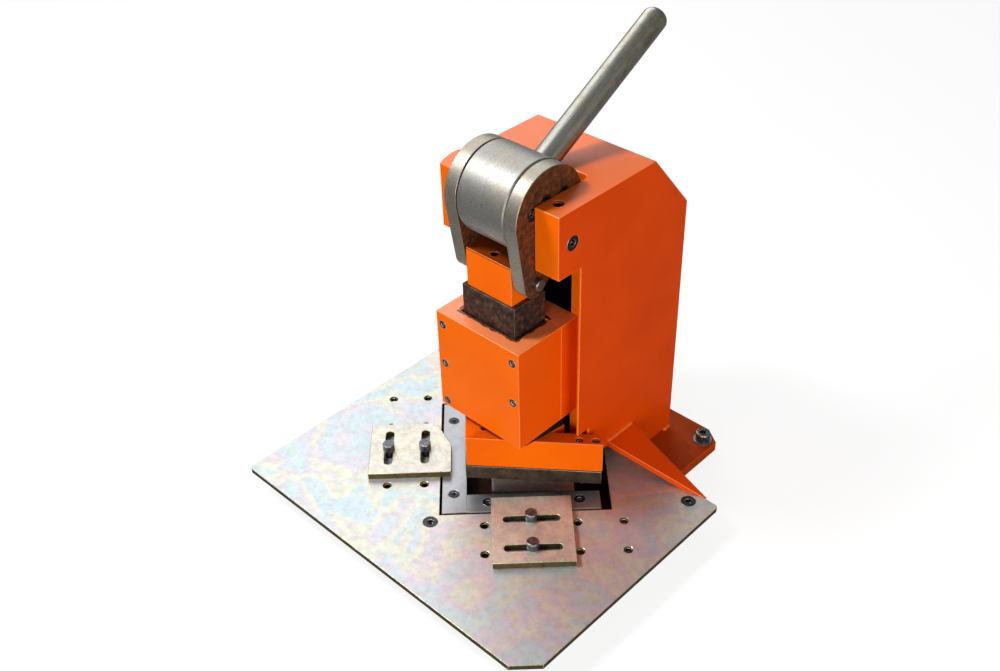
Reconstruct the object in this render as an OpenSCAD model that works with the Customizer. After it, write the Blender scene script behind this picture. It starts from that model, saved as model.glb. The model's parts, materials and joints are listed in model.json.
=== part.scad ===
// Corner notcher: a bench press that cuts square corners out of sheet metal.
//
// Frame: millimetres, +Z up, the bench at z = 0 and the operator at -Y. The origin is
// on the underside of the base plate, straight below the corner of the table's window.
// The two blade directions run at 45 degrees to the table: u to the back right and v to
// the back left. Modules that say "blade frame" are drawn in u and v.

/* [Base plate] */
// Thickness of the base plate
base_t = 12; // [8:1:20]
// Half the width of the base plate
base_half_w = 134; // [110:1:170]
// Reach of the base plate in front of the window corner
base_front = 60; // [50:1:80]
// Reach of the base plate behind the column
base_tail = 23.5; // [18:0.5:60]
// Rear corner cut of the base plate, across
base_cut_x = 19; // [5:1:30]
// Rear corner cut of the base plate, along
base_cut_y = 13; // [5:1:20]
// Bench bolt centre to the side edge of the base plate
bench_bolt_side = 14; // [12:1:20]
// Bench bolt centre to the rear edge of the base plate
bench_bolt_rear = 20; // [14:1:20]
// Radius of a bench bolt's shank
bench_bolt_r = 5; // [4:0.5:6]

/* [Table] */
// Free height between base plate and table
table_gap = 16; // [14:1:30]
// Thickness of the table
table_t = 6; // [4:0.5:10]
// Half the width of the table
table_half_w = 206.5; // [170:0.5:250]
// Reach of the table in front of the window corner
table_front = 90; // [75:1:130]
// Reach of the table behind the window corner
table_back = 205; // [190:1:220]
// Cut of the front right table corner
table_cut = 23; // [5:1:40]
// Radius of the other table corners
table_corner_r = 4; // [1:0.5:10]
// Length of each side of the window, in the blade frame
window_leg = 180; // [160:1:200]
// Core radius of the tapped stop holes
tap_r = 3.4; // [2.5:0.1:4]
// Countersink radius at the mouth of a tapped hole
tap_mouth_r = 4.9; // [4.2:0.1:6]
// First stop hole from the window corner, along the window edge
tap_first = 46.9; // [40:0.1:60]
// Pitch of the stop holes along the window edge
tap_pitch = 48; // [40:1:52]
// First row of stop holes from the window edge
tap_row_near = 16.9; // [12:0.1:20]
// Second row of stop holes from the window edge
tap_row_far = 56.9; // [50:0.1:60]

/* [Lower blades] */
// Thickness of the lower blades
lower_blade_t = 12; // [8:0.5:14]
// Width of the lower blades
lower_blade_w = 26; // [20:0.5:30]
// Gap between window edge and lower blade
window_gap = 2.5; // [1:0.1:4]
// Length of window left open past the right blade
right_blade_short = 10.7; // [4:0.1:20]

/* [Upper blades and holder] */
// Sideways gap between upper and lower blades
blade_gap = 0.3; // [0.1:0.05:0.5]
// Height of the upper blades
upper_blade_h = 16.8; // [12:0.1:24]
// Width of the upper blades
upper_blade_w = 19.4; // [15:0.1:24]
// Height of the blade corner over the table at rest
blade_lift = 25.1; // [22:0.1:36]
// Backward fall of the blades, in degrees
shear_angle = 9.1; // [5:0.1:10]
// Height of the blade holder at its corner
holder_h = 37.4; // [25:0.1:50]
// How far the holder's faces stand back from the blades
holder_setback = 1.4; // [0.5:0.1:3]
// Length of window left free past the holder's legs
holder_short = 8; // [5:0.5:20]
// Half the width of the pad between holder and ram
pad_half_w = 50; // [45:0.5:55]
// Rear edge of the pad
pad_back = 140; // [130:1:145]

/* [Ram and guide housing] */
// Half the width of the ram
ram_half_w = 34.9; // [28:0.1:38]
// Front face of the ram
ram_front = 83; // [80:0.5:90]
// Depth of the ram from front to back
ram_d = 43.7; // [30:0.1:44]
// How far the ram stands out of the housing at rest
ram_rise = 33.1; // [30:0.1:45]
// Running gap between ram and guides
slide_gap = 0.15; // [0.05:0.05:0.3]
// Thickness of the gib strips beside the ram
gib_t = 2.6; // [2:0.1:4]
// Half the width of the guide housing
housing_half_w = 56; // [50:0.5:60]
// Front face of the guide housing
housing_front_y = 65; // [55:1:70]
// Height of the guide housing
housing_h = 119.2; // [90:0.1:130]
// Thickness of the housing's rear plate
housing_rear_t = 24.8; // [15:0.1:30]
// Free height between holder and housing at rest
housing_lift = 2.8; // [1:0.1:6]

/* [Crank] */
// Height of the head block on the ram
block_h = 43.3; // [38:0.1:55]
// Half the width of the head block
block_half_w = 29.6; // [24:0.1:29.8]
// Height of the link pin over the ram
pin_height = 26.5; // [24:0.1:30]
// Radius of the link pin
pin_r = 6; // [4:0.1:7]
// Length of the links between their centres
link_len = 71.3; // [66:0.1:90]
// Lean of the links at rest, in degrees
link_lean = 15.7; // [10:0.1:20]
// Radius of the links' round head
link_head_r = 45.4; // [42:0.1:50]
// Radius of the links' lower end
link_foot_r = 15.7; // [12:0.1:18]
// Throw of the eccentric
throw = 20.1; // [15:0.1:22]
// Backward lean of the throw at rest, in degrees
throw_lean = 6.3; // [0:0.1:10]
// Radius of the drum
drum_r = 45.8; // [40:0.1:50]
// Half the length of the drum
drum_half_l = 30; // [25:0.5:34]
// Radius of the journals that carry the links
journal_r = 34; // [33:0.5:36]
// Thickness of a link and of a journal
link_t = 14.8; // [10:0.1:15.5]
// Radius of the main shaft
shaft_r = 10; // [8:0.5:10.5]
// Lean of the lever from the vertical at rest, in degrees
lever_lean = 60.8; // [50:0.1:62]
// Radius of the lever
lever_r = 13; // [9:0.5:14]
// Reach of the lever from the drum's centre
lever_reach = 236; // [190:1:400]
// Sideways place of the lever
lever_x = 4; // [-8:1:8]

/* [Column and head] */
// Half the width of the column
column_half_w = 75.8; // [74:0.1:95]
// Thickness of the column's plates
plate_t = 10; // [6:0.5:12]
// Front edge of the column's side plates
column_front = 131; // [124:1:135]
// Thickness of the side plates' lip beside the housing
lip_t = 2.6; // [2:0.1:5]
// Rear face of the column
column_back_y = 295.5; // [285:0.5:330]
// Half the width of the slot in the head
slot_half_w = 46.5; // [46:0.1:50]
// Reach of the cheeks in front of the shaft
cheek_front_reach = 19.1; // [15:0.1:24]
// Reach of the cheeks under the shaft
cheek_drop = 33.2; // [28:0.1:40]
// Reach of the cheeks over the shaft
cheek_rise = 34.6; // [30:0.1:36]
// Depth of the slot behind the shaft
slot_depth = 56.2; // [55:0.1:70]
// Length of the flat on top of the head, behind the shaft
head_flat = 119.9; // [100:0.1:135]
// Height of the slope behind the flat
slope_drop = 67.4; // [30:0.1:90]
// Radius of the left cheek's hump over the shaft
hump_r = 40.3; // [39.6:0.1:41]
// Thickness of the gussets
gusset_t = 7; // [5:0.5:8]
// Height of the gussets' weld over the table
gusset_rise = 29; // [20:0.5:32]

/* [Stops] */
// Thickness of the stop plates
stop_t = 8; // [5:0.5:12]
// Width of the slots in the stops
stop_slot_w = 9; // [8.6:0.1:10]
// Radius of a stop bolt's shank
stop_bolt_r = 4; // [3:0.1:4]
// Radius of a stop bolt's head
stop_head_r = 6.5; // [5.6:0.1:8]
// Height of a stop bolt's head
stop_head_h = 9; // [6:0.5:14]

/* [Hidden] */
$fn = 72;

// Clearances. A fit is a screw in its thread or a shaft in its bore, a slip is a plate
// that slides on another, and a free gap keeps cast and cut parts apart.
fit = 0.05;
slip = 0.1;
free = 0.5;
over = 1;          // how far a cut runs past the face that it opens
root2 = sqrt(2);

orange = "#e8590c";
bright_steel = "#b9bcc0";
dark_steel = "#5d534c";
black_oxide = "#2b2d31";
plated_steel = "#b8b09a";

// Heights
table_z = base_t + table_gap;
table_top = table_z + table_t;
bed_top = table_top - lower_blade_t;
blade_corner_z = table_top + blade_lift;
holder_z = blade_corner_z + upper_blade_h;
housing_z = holder_z + holder_h + housing_lift;
housing_top = housing_z + housing_h;
ram_bottom = housing_z - free;
ram_top = housing_top + ram_rise;
block_top = ram_top + block_h;

// Crank geometry in the YZ plane, as [y, z]
ram_mid = ram_front + ram_d / 2;
link_gap = 1;
pin_ahead = 2.85;   // the pin stands this far in front of the ram's middle
pin_at = [ram_mid - pin_ahead, ram_top + pin_height];
drum_at = pin_at + link_len * [sin(link_lean), cos(link_lean)];
shaft_at = drum_at - throw * [sin(throw_lean), cos(throw_lean)];
link_inner = drum_half_l + link_gap;
link_outer = link_inner + link_t;

// The link pin's bore in the head block is larger than the pin: its path leaves the
// straight line of the ram by up to this much
pin_play = 3.9;
pin_gap = 0.3;
pin_path_mid = [-2.8, 2.5];   // middle of that path, from the pin at rest
pin_bore_r = pin_r + pin_play + pin_gap;
pin_bore_at = pin_at + pin_path_mid;
block_wall = 4;
block_step = 5;
block_front = pin_bore_at[0] - pin_bore_r - block_wall;
block_back = ram_front + ram_d - block_step;

// Head
head_front = shaft_at[0] - cheek_front_reach;
head_bottom = shaft_at[1] - cheek_drop;
head_top = shaft_at[1] + cheek_rise;
slot_back = shaft_at[0] + slot_depth;
flat_back = shaft_at[0] + head_flat;
slope_foot = head_top - slope_drop;
plate_inner = column_half_w - plate_t;
base_back = column_back_y + base_tail;
web_t = 12;

// Guide housing
housing_seam = ram_front + ram_d + slide_gap;
housing_back = housing_seam + housing_rear_t;

// Blade frame
shear_face = window_gap + lower_blade_w + blade_gap;
holder_face = shear_face + holder_setback;
holder_inner = shear_face + upper_blade_w;
holder_end = window_leg - holder_short;
upper_blade_end = holder_end - 1;
bed_edge = window_gap + lower_blade_w;
left_blade_end = window_leg - 2;
front_blade_end = window_leg - right_blade_short;
shear_corner_y = shear_face * root2;

// Column sides stand clear of the holder's legs and of the table
leg_gap = 4;
leg_gap_over = 3;
leg_clear_y = column_half_w + holder_inner * root2 + leg_gap;
leg_clear_z = holder_z + holder_h + leg_gap_over
    - (column_front - shear_corner_y) * tan(shear_angle);
notch_z = table_top + gusset_rise - gusset_t;
notch_back = table_back + 1;
arm_front = window_leg * root2 - column_half_w;
arm_back = table_back + 17;

// Screws
table_screw_r = 4;
table_screw_head = 8;
table_screw_l = table_t + 9;
table_screw_side = 27.8;   // rear table screws from the side edge
table_screw_rear = 14.8;   // rear table screws from the rear edge
front_screw_y = -13;
blade_screw_r = 3;
blade_screw_head = 6;
blade_screw_l = lower_blade_t + 7;
holder_screw_r = 2.5;
holder_screw_head = 4.25;
housing_screw_r = 2.5;
housing_screw_head = 4.6;
bed_screw_r = 4;
bed_screw_head = 6.5;
bed_screw_cap = 7;         // height of the head
bed_screw_sink = 8;        // its counterbore under the base plate
bed_screw_grip = 7;        // thread in the die bed
journal_screw_r = 4;
journal_screw_head = 6.5;
journal_screw_cap = 6;
journal_screw_l = 18;
end_screw_r = 4;
end_screw_head = 8;
end_screw_l = 28;

table_screw_spots = [
    [0, front_screw_y],
    [table_half_w - table_screw_side, table_back - table_screw_rear],
    [-(table_half_w - table_screw_side), table_back - table_screw_rear]];
left_blade_spots = [[15, 30], [14, 148.5]];            // blade frame
front_blade_spots = [[51, 16.8], [147.5, 16.8]];       // blade frame
bed_screw_spots = [[15, 60], [15, 118], [75, 15], [122, 15]];   // blade frame
leg_screw_spots = [[148, holder_inner - 10.6], [165, holder_inner - 10.6]]; // blade frame
pad_screw_y = 71;
housing_screw_x = 47.5;
housing_screw_rows = [14, 63, 112];                    // down from the housing's top
journal_screw_spots = [[-4.5, 13], [20, 12], [-23, 7]];   // from the drum's centre

// ---- Helpers -----------------------------------------------------------------------

// Extrudes a drawing in Y and Z along X, from x0 to x1
module along_x(x0, x1) {
    translate([x0, 0, 0]) rotate([90, 0, 90]) linear_extrude(x1 - x0) children();
}

// A box between two corners
module block(low, high) {
    translate(low) cube(high - low);
}

// A round bar along X
module bar_x(x0, x1, at, r) {
    translate([x0, at[0], at[1]]) rotate([0, 90, 0]) cylinder(h = x1 - x0, r = r);
}

// The same on both sides of the middle plane
module both_sides() {
    children();
    mirror([1, 0, 0]) children();
}

// Flat rectangle with round corners
module round_rect(low, high, r) {
    translate([low[0] + r, low[1]]) square([high[0] - low[0] - 2 * r, high[1] - low[1]]);
    translate([low[0], low[1] + r]) square([high[0] - low[0], high[1] - low[1] - 2 * r]);
    for (x = [low[0] + r, high[0] - r], y = [low[1] + r, high[1] - r])
        translate([x, y]) circle(r);
}

// Straight slot of width w between two centres
module slot(from, to, w) {
    run = to - from;
    translate(from) circle(w / 2);
    translate(to) circle(w / 2);
    translate(from) rotate(atan2(run[1], run[0]))
        translate([0, -w / 2]) square([norm(run), w]);
}

// Hexagon socket, open upwards from z = 0
module hex_socket(r, depth) {
    translate([0, 0, -depth]) cylinder(h = depth + over, r = r, $fn = 6);
}

// Countersunk screw, its head flush with z = 0 and its shank down
module sunk_screw(r, head_r, length) {
    rim = 0.6;
    difference() {
        union() {
            translate([0, 0, -rim]) cylinder(h = rim, r = head_r);
            translate([0, 0, -rim - (head_r - r)]) cylinder(h = head_r - r, r1 = r, r2 = head_r);
            translate([0, 0, -length]) cylinder(h = length - rim, r = r);
        }
        hex_socket(head_r * 0.46, head_r * 0.55);
    }
}

// Hole for a countersunk screw, its mouth at z = 0
module sunk_hole(r, head_r, length) {
    rim = 0.6;
    translate([0, 0, -rim]) cylinder(h = rim + over, r = head_r + fit);
    translate([0, 0, -rim - (head_r - r)])
        cylinder(h = head_r - r, r1 = r + fit, r2 = head_r + fit);
    translate([0, 0, -length - over]) cylinder(h = length + over, r = r + fit);
}

// Cap screw, its head standing on z = 0 and its shank down
module cap_screw(r, head_r, head_h, length, socket = true) {
    bevel = head_r * 0.1;
    difference() {
        union() {
            cylinder(h = head_h - bevel, r = head_r);
            translate([0, 0, head_h - bevel])
                cylinder(h = bevel, r1 = head_r, r2 = head_r - bevel);
            translate([0, 0, -length]) cylinder(h = length + over, r = r);
        }
        if (socket) translate([0, 0, head_h]) hex_socket(head_r * 0.52, head_h * 0.5);
    }
}

// Tapped hole with a countersunk mouth at z = 0, going down
module tapped_hole(r, mouth_r, depth) {
    translate([0, 0, -depth]) cylinder(h = depth + over, r = r);
    translate([0, 0, -(mouth_r - r)]) cylinder(h = mouth_r - r + over,
        r1 = r, r2 = mouth_r + over);
}

// Places the children at each spot
module at_spots(spots, z = 0) {
    for (spot = spots) translate([spot[0], spot[1], z]) children();
}

// Height of a sheared plane that stands at z over the blade corner
function shear_z(z, y) = z - (y - shear_corner_y) * tan(shear_angle);

// Everything between two sheared planes, h apart
module shear_slab(z, h) {
    front = 0;
    back = table_back;
    along_x(-table_half_w, table_half_w) polygon([
        [front, shear_z(z, front)], [back, shear_z(z, back)],
        [back, shear_z(z, back) + h], [front, shear_z(z, front) + h]]);
}

// ---- Base --------------------------------------------------------------------------

module base_outline() {
    polygon([[-base_half_w, -base_front], [base_half_w, -base_front],
        [base_half_w, base_back - base_cut_y], [base_half_w - base_cut_x, base_back],
        [-base_half_w + base_cut_x, base_back], [-base_half_w, base_back - base_cut_y]]);
}

module at_bench_bolts(z) {
    both_sides()
        translate([base_half_w - bench_bolt_side, base_back - bench_bolt_rear, z]) children();
}

module base_plate() color(orange) difference() {
    linear_extrude(base_t) base_outline();
    at_bench_bolts(-over) cylinder(h = base_t + 2 * over, r = bench_bolt_r + free);
    rotate(45) at_spots(bed_screw_spots) bed_screw_hole();
}

washer_t = 2;
washer_r = 10.5;
module bench_bolts() color(black_oxide) at_bench_bolts(base_t + washer_t)
    cap_screw(bench_bolt_r, bench_bolt_r * 1.6, bench_bolt_r * 2, base_t + washer_t - free);

module bench_washers() color(bright_steel) at_bench_bolts(base_t) difference() {
    cylinder(h = washer_t, r = washer_r);
    translate([0, 0, -over]) cylinder(h = washer_t + 2 * over, r = bench_bolt_r + fit);
}

// ---- Table -------------------------------------------------------------------------

module table_outline() {
    difference() {
        round_rect([-table_half_w, -table_front], [table_half_w, table_back], table_corner_r);
        polygon([[table_half_w - table_cut, -table_front - over],
            [table_half_w + over, -table_front - over],
            [table_half_w + over, -table_front + table_cut],
            [table_half_w, -table_front + table_cut], [table_half_w - table_cut, -table_front]]);
        rotate(45) square(window_leg);
    }
}

module at_stop_holes(z) {
    both_sides() rotate(45)
        for (i = [0:3], row = [tap_row_near, tap_row_far])
            translate([tap_first + i * tap_pitch, -row, z]) children();
}

module table_screw_hole() {
    sunk_hole(table_screw_r, table_screw_head, table_screw_l + over);
}

module table_plate() color(plated_steel) difference() {
    translate([0, 0, table_z]) linear_extrude(table_t) table_outline();
    at_stop_holes(table_top) tapped_hole(tap_r, tap_mouth_r, table_t + over);
    at_spots(table_screw_spots, table_top) table_screw_hole();
}

module table_screws() color(black_oxide) at_spots(table_screw_spots, table_top)
    sunk_screw(table_screw_r, table_screw_head, table_screw_l);

// Steel block between base plate and table, round the front screw
spacer_half_w = 20;
spacer_ahead = 25;
spacer_behind = 12;

module table_spacer() color(dark_steel) difference() {
    block([-spacer_half_w, front_screw_y - spacer_ahead, base_t],
        [spacer_half_w, front_screw_y + spacer_behind, table_z]);
    at_spots([table_screw_spots[0]], table_top) table_screw_hole();
}

// Arms under the table's rear corners
arm_t = 12;
arm_lead = 50;         // slanted part of the front edge, across
arm_tip_side = 16.5;   // tip from the table's side edge
arm_tip_x = table_half_w - arm_tip_side;

module table_arm() color(orange) difference() {
    translate([0, 0, table_z - arm_t]) linear_extrude(arm_t) polygon([
        [column_half_w, notch_back], [column_half_w + arm_lead, arm_front],
        [arm_tip_x, arm_front], [arm_tip_x, table_back - 1], [column_half_w, arm_back]]);
    at_spots([table_screw_spots[1]], table_top) table_screw_hole();
}

module table_arm_right() table_arm();

module table_arm_left() mirror([1, 0, 0]) table_arm();

// Sloping triangular plate from the column's side down to the table's rear corner
gusset_root = 43;
gusset_tip = 2;
gusset_step = 1.2;   // its front corner from the arm's front edge

module gusset() color(orange) {
    run = arm_tip_x - column_half_w;
    slope = atan(gusset_rise / run);
    root_y = arm_front + gusset_step;
    tip_y = table_back + slip;
    difference() {
        intersection() {
            translate([column_half_w, 0, table_top + gusset_rise]) rotate([0, slope, 0])
                translate([0, 0, -gusset_t]) linear_extrude(gusset_t) polygon([
                    [0, root_y], [norm([run, gusset_rise]), tip_y],
                    [norm([run, gusset_rise]), tip_y + gusset_tip],
                    [0, root_y + gusset_root], [-gusset_t, root_y + gusset_root],
                    [-gusset_t, root_y]]);
            block([column_half_w, 0, 0], [table_half_w, base_back, head_top]);
        }
        block([0, 0, 0], [table_half_w, tip_y, table_top + slip]);
    }
}

module gusset_right() gusset();

module gusset_left() mirror([1, 0, 0]) gusset();

// ---- Column and head ---------------------------------------------------------------

module column_profile() {
    polygon([[notch_back, base_t], [column_back_y, base_t], [column_back_y, slope_foot],
        [flat_back, head_top], [head_front, head_top], [head_front, head_bottom],
        [column_front, head_bottom], [column_front, leg_clear_z], [leg_clear_y, leg_clear_z],
        [leg_clear_y, notch_z], [notch_back, notch_z]]);
}

// The hump on top of the left cheek, concentric with the shaft
module left_hump() {
    intersection() {
        translate(shaft_at) circle(hump_r);
        translate([head_front, shaft_at[1]]) square([head_seam - head_front, 2 * hump_r]);
    }
}

// Recess in the side plate beside the housing, in front of the mounting posts
module plate_recess() {
    block([plate_inner - over, column_front - over, base_t - over],
        [column_half_w - lip_t, housing_back, head_bottom]);
}

// Hole for a shaft screw, through the side plate
module at_shaft_end() {
    translate([column_half_w, shaft_at[0], shaft_at[1]]) rotate([0, 90, 0]) children();
}

module shaft_end_hole() {
    at_shaft_end() sunk_hole(end_screw_r, end_screw_head, end_screw_l + 2 * over);
}

module column_side_right() color(orange) difference() {
    along_x(plate_inner, column_half_w) column_profile();
    plate_recess();
    shaft_end_hole();
}

module column_side_left() color(orange) mirror([1, 0, 0]) difference() {
    along_x(plate_inner, column_half_w) union() {
        column_profile();
        left_hump();
    }
    plate_recess();
    shaft_end_hole();
}

// Inner corners where the slope's plate meets the top plate and the back plate
slope_dir = [column_back_y - flat_back, slope_foot - head_top]
    / norm([column_back_y - flat_back, slope_foot - head_top]);
slope_in = [slope_dir[1], -slope_dir[0]];
upper_mitre = [flat_back + plate_t * (1 + slope_in[1]) / slope_in[0], head_top - plate_t];
lower_mitre = [column_back_y - plate_t,
    slope_foot + plate_t * (1 + slope_in[0]) / slope_in[1]];

module column_back() color(orange) along_x(-plate_inner, plate_inner)
    polygon([[column_back_y - plate_t, base_t], [column_back_y, base_t],
        [column_back_y, slope_foot], lower_mitre]);

module column_slope() color(orange) along_x(-plate_inner, plate_inner)
    polygon([lower_mitre, [column_back_y, slope_foot], [flat_back, head_top], upper_mitre]);

module column_top() color(orange) along_x(-plate_inner, plate_inner)
    polygon([[slot_back + web_t, head_top - plate_t], upper_mitre,
        [flat_back, head_top], [slot_back + web_t, head_top]]);

slot_corner_r = 6;
head_seam = slot_back - slot_corner_r - 2;   // where the cheeks are welded on

module head_web() color(orange) difference() {
    block([-plate_inner, head_seam, head_bottom], [plate_inner, slot_back + web_t, head_top]);
    translate([0, 0, head_bottom - over]) linear_extrude(head_top - head_bottom + 2 * over)
        round_rect([-slot_half_w, head_seam - 3 * slot_corner_r], [slot_half_w, slot_back],
            slot_corner_r);
}

oil_hole_r = 4.2;
oil_mouth_r = 5.8;
oil_hole_side = 2;     // outwards from the middle of a cheek
oil_hole_back = 9.5;   // from the head block's front face

module cheek_blank(rise) {
    difference() {
        children();
        bar_x(slot_half_w - over, plate_inner + over, shaft_at, shaft_r + fit);
        translate([(slot_half_w + plate_inner) / 2 + oil_hole_side, shaft_at[0],
            shaft_at[1] + rise]) tapped_hole(oil_hole_r, oil_mouth_r, rise - shaft_r + over);
    }
}

module cheek_profile() {
    translate([head_front, head_bottom])
        square([head_seam - head_front, head_top - head_bottom]);
}

module cheek_right() color(orange) cheek_blank(cheek_rise)
    along_x(slot_half_w, plate_inner) cheek_profile();

module cheek_left() color(orange) mirror([1, 0, 0]) cheek_blank(hump_r)
    along_x(slot_half_w, plate_inner) union() {
        cheek_profile();
        left_hump();
    }

module main_shaft() color(bright_steel) difference() {
    bar_x(-plate_inner, plate_inner, shaft_at, shaft_r);
    both_sides() shaft_end_hole();
}

module shaft_screws() color(black_oxide) both_sides() at_shaft_end()
    sunk_screw(end_screw_r, end_screw_head, end_screw_l);

web_set_back = 2;   // of the web behind its posts

// The web across the column, with a post on each side up to the cheeks
module housing_mount() color(orange) union() {
    block([-plate_inner, housing_back + web_set_back, base_t],
        [plate_inner, housing_back + web_t, housing_top - web_t]);
    both_sides() block([slot_half_w, housing_back, base_t],
        [plate_inner, housing_back + web_t, head_bottom]);
}

// ---- Guide housing -----------------------------------------------------------------

pocket_gap = 2;
pocket_half_w = ram_half_w + slide_gap + gib_t;

module at_housing_screws() {
    both_sides() for (row = housing_screw_rows)
        translate([housing_screw_x, housing_front_y, housing_top - row])
            rotate([90, 0, 0]) children();
}

housing_screw_grip = 14;   // thread in the rear plate
housing_screw_l = housing_seam - housing_front_y + housing_screw_grip;

module housing_screw_hole() {
    sunk_hole(housing_screw_r, housing_screw_head, housing_screw_l + 2 * over);
}

module housing_front() color(orange) difference() {
    block([-housing_half_w, housing_front_y, housing_z],
        [housing_half_w, housing_seam, housing_top]);
    block([-pocket_half_w, ram_front - pocket_gap, housing_z - over],
        [pocket_half_w, housing_seam + over, housing_top + over]);
    at_housing_screws() housing_screw_hole();
}

module housing_rear() color(orange) difference() {
    block([-housing_half_w, housing_seam, housing_z],
        [housing_half_w, housing_back, housing_top]);
    at_housing_screws() housing_screw_hole();
}

// The lower right screw is missing, as on the photographed machine
module housing_screws() color(black_oxide) difference() {
    at_housing_screws() sunk_screw(housing_screw_r, housing_screw_head, housing_screw_l);
    block([0, 0, housing_z], [housing_half_w, housing_back,
        housing_top - housing_screw_rows[2] + 2 * housing_screw_head]);
}

gib_below = 6;   // top of the gibs under the housing's top
gib_above = 4;   // their foot over the housing's underside

module gib() {
    block([ram_half_w + slide_gap, ram_front, housing_z + gib_above],
        [pocket_half_w, housing_seam, housing_top - gib_below]);
}

module gib_right() color("#a98a4b") gib();

module gib_left() color("#a98a4b") mirror([1, 0, 0]) gib();

// ---- Die bed and lower blades ------------------------------------------------------

module bed_screw_hole() {
    translate([0, 0, -over]) cylinder(h = base_t + 2 * over, r = bed_screw_r + fit);
    translate([0, 0, -over]) cylinder(h = bed_screw_sink + over, r = bed_screw_head + free);
}

module bed_screws() color(black_oxide) rotate(45) at_spots(bed_screw_spots, bed_screw_sink)
    mirror([0, 0, 1]) cap_screw(bed_screw_r, bed_screw_head, bed_screw_cap,
        base_t - bed_screw_sink + bed_screw_grip);

module lower_screw_hole() {
    sunk_hole(blade_screw_r, blade_screw_head, blade_screw_l + over);
}

module left_strip() {
    translate([window_gap, window_gap]) square([lower_blade_w, left_blade_end - window_gap]);
}

module front_strip() {
    translate([bed_edge, window_gap]) square([front_blade_end - bed_edge, lower_blade_w]);
}

module die_bed() color(dark_steel) rotate(45) difference() {
    translate([0, 0, base_t]) linear_extrude(bed_top - base_t) {
        left_strip();
        front_strip();
    }
    at_spots(concat(left_blade_spots, front_blade_spots), table_top) lower_screw_hole();
    at_spots(bed_screw_spots)
        cylinder(h = base_t + bed_screw_grip + over, r = bed_screw_r + fit);
}

module lower_blade_left() color(bright_steel) rotate(45) difference() {
    translate([0, 0, bed_top]) linear_extrude(lower_blade_t) left_strip();
    at_spots(left_blade_spots, table_top) lower_screw_hole();
}

module lower_blade_front() color(bright_steel) rotate(45) difference() {
    translate([0, 0, bed_top]) linear_extrude(lower_blade_t) front_strip();
    at_spots(front_blade_spots, table_top) lower_screw_hole();
}

module lower_blade_screws() color(black_oxide) rotate(45)
    at_spots(concat(left_blade_spots, front_blade_spots), table_top)
        sunk_screw(blade_screw_r, blade_screw_head, blade_screw_l);

// Steel wedge that leads the cut corners out to the right, between the base plate and the
// table (blade frame, in u and v)
chute_u = [55, window_leg - 35];
chute_v = [holder_inner + 2, 92];
chute_rise = 4.5;
chute_lip = 1.5;

module chute_wedge() {
    rotate(45) translate([0, chute_v[1], base_t]) rotate([90, 0, 0])
        linear_extrude(chute_v[1] - chute_v[0]) polygon([[chute_u[0], 0], [chute_u[1], 0],
            [chute_u[1], chute_lip], [chute_u[0], chute_rise]]);
}

// The wedge ends in front of the housing's mount
module scrap_chute() color(bright_steel) intersection() {
    chute_wedge();
    block([-table_half_w, 0, 0], [table_half_w, housing_back - free, table_z]);
}

// ---- Ram and upper blades ----------------------------------------------------------

module ram() color(dark_steel)
    block([-ram_half_w, ram_front, ram_bottom], [ram_half_w, ram_front + ram_d, ram_top]);

module ram_head_block() color(orange) difference() {
    block([-block_half_w, block_front, ram_top], [block_half_w, block_back, block_top]);
    bar_x(-block_half_w - over, block_half_w + over, pin_bore_at, pin_bore_r);
    translate([0, block_front + oil_hole_back, block_top])
        tapped_hole(oil_hole_r, tap_mouth_r, block_top - pin_bore_at[1]);
}

// Foot between ram and holder, its edges from the ram's front and the pad's rear
foot_ahead = 4;
foot_inset = 2;

module ram_foot() color(black_oxide) difference() {
    block([-pad_half_w, ram_front - foot_ahead, holder_z],
        [pad_half_w, pad_back - foot_inset, ram_bottom]);
    shear_slab(holder_z - holder_h, 2 * holder_h);
}

// A point of the blade frame, seen from the machine's own
function from_blades(u, v) = [(u - v) / root2, (u + v) / root2];

// V of two legs with a pad in its fork: the right half's corners, then the left's
holder_leg_cut = 4;

module holder_outline() {
    right = [
        from_blades(holder_end, holder_face),
        from_blades(holder_end, holder_inner - holder_leg_cut),
        from_blades(holder_end - holder_leg_cut, holder_inner),
        [pad_half_w, holder_inner * root2 + pad_half_w],
        [pad_half_w, pad_back]];
    left = [for (i = [len(right) - 1:-1:0]) [-right[i][0], right[i][1]]];
    polygon(concat([from_blades(holder_face, holder_face)], right, left));
}

// Screws that hold the upper blades, from the holder's top face
module at_holder_screws() {
    for (spot = leg_screw_spots) both_sides() rotate(45) translate([spot[0], spot[1], 0]) {
        y = (spot[0] + spot[1]) / root2;
        translate([0, 0, shear_z(holder_z + holder_h, y)]) children();
    }
    translate([0, pad_screw_y, shear_z(holder_z + holder_h, pad_screw_y)]) children();
}

holder_screw_sink = 7;
holder_screw_cap = 5;

module holder_screw_hole() {
    translate([0, 0, -holder_screw_sink]) {
        cylinder(h = holder_screw_sink + 2 * over, r = holder_screw_head + fit);
        translate([0, 0, -holder_h]) cylinder(h = holder_h + over, r = holder_screw_r + fit);
    }
}

module blade_holder() color(orange) difference() {
    intersection() {
        shear_slab(holder_z, holder_h);
        translate([0, 0, table_z]) linear_extrude(holder_z + holder_h) holder_outline();
    }
    at_holder_screws() holder_screw_hole();
}

module holder_screws() color(black_oxide) at_holder_screws()
    translate([0, 0, -holder_screw_sink])
        cap_screw(holder_screw_r, holder_screw_head, holder_screw_cap, holder_h - free);

module upper_blade(low, high) {
    difference() {
        intersection() {
            shear_slab(blade_corner_z, upper_blade_h);
            rotate(45) block([low[0], low[1], 0], [high[0], high[1], holder_z + holder_h]);
        }
        at_holder_screws() holder_screw_hole();
    }
}

module upper_blade_right() color(dark_steel)
    upper_blade([shear_face, shear_face], [upper_blade_end, holder_inner]);

module upper_blade_left() color(dark_steel)
    upper_blade([shear_face, holder_inner], [holder_inner, upper_blade_end]);

// ---- Crank -------------------------------------------------------------------------

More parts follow.
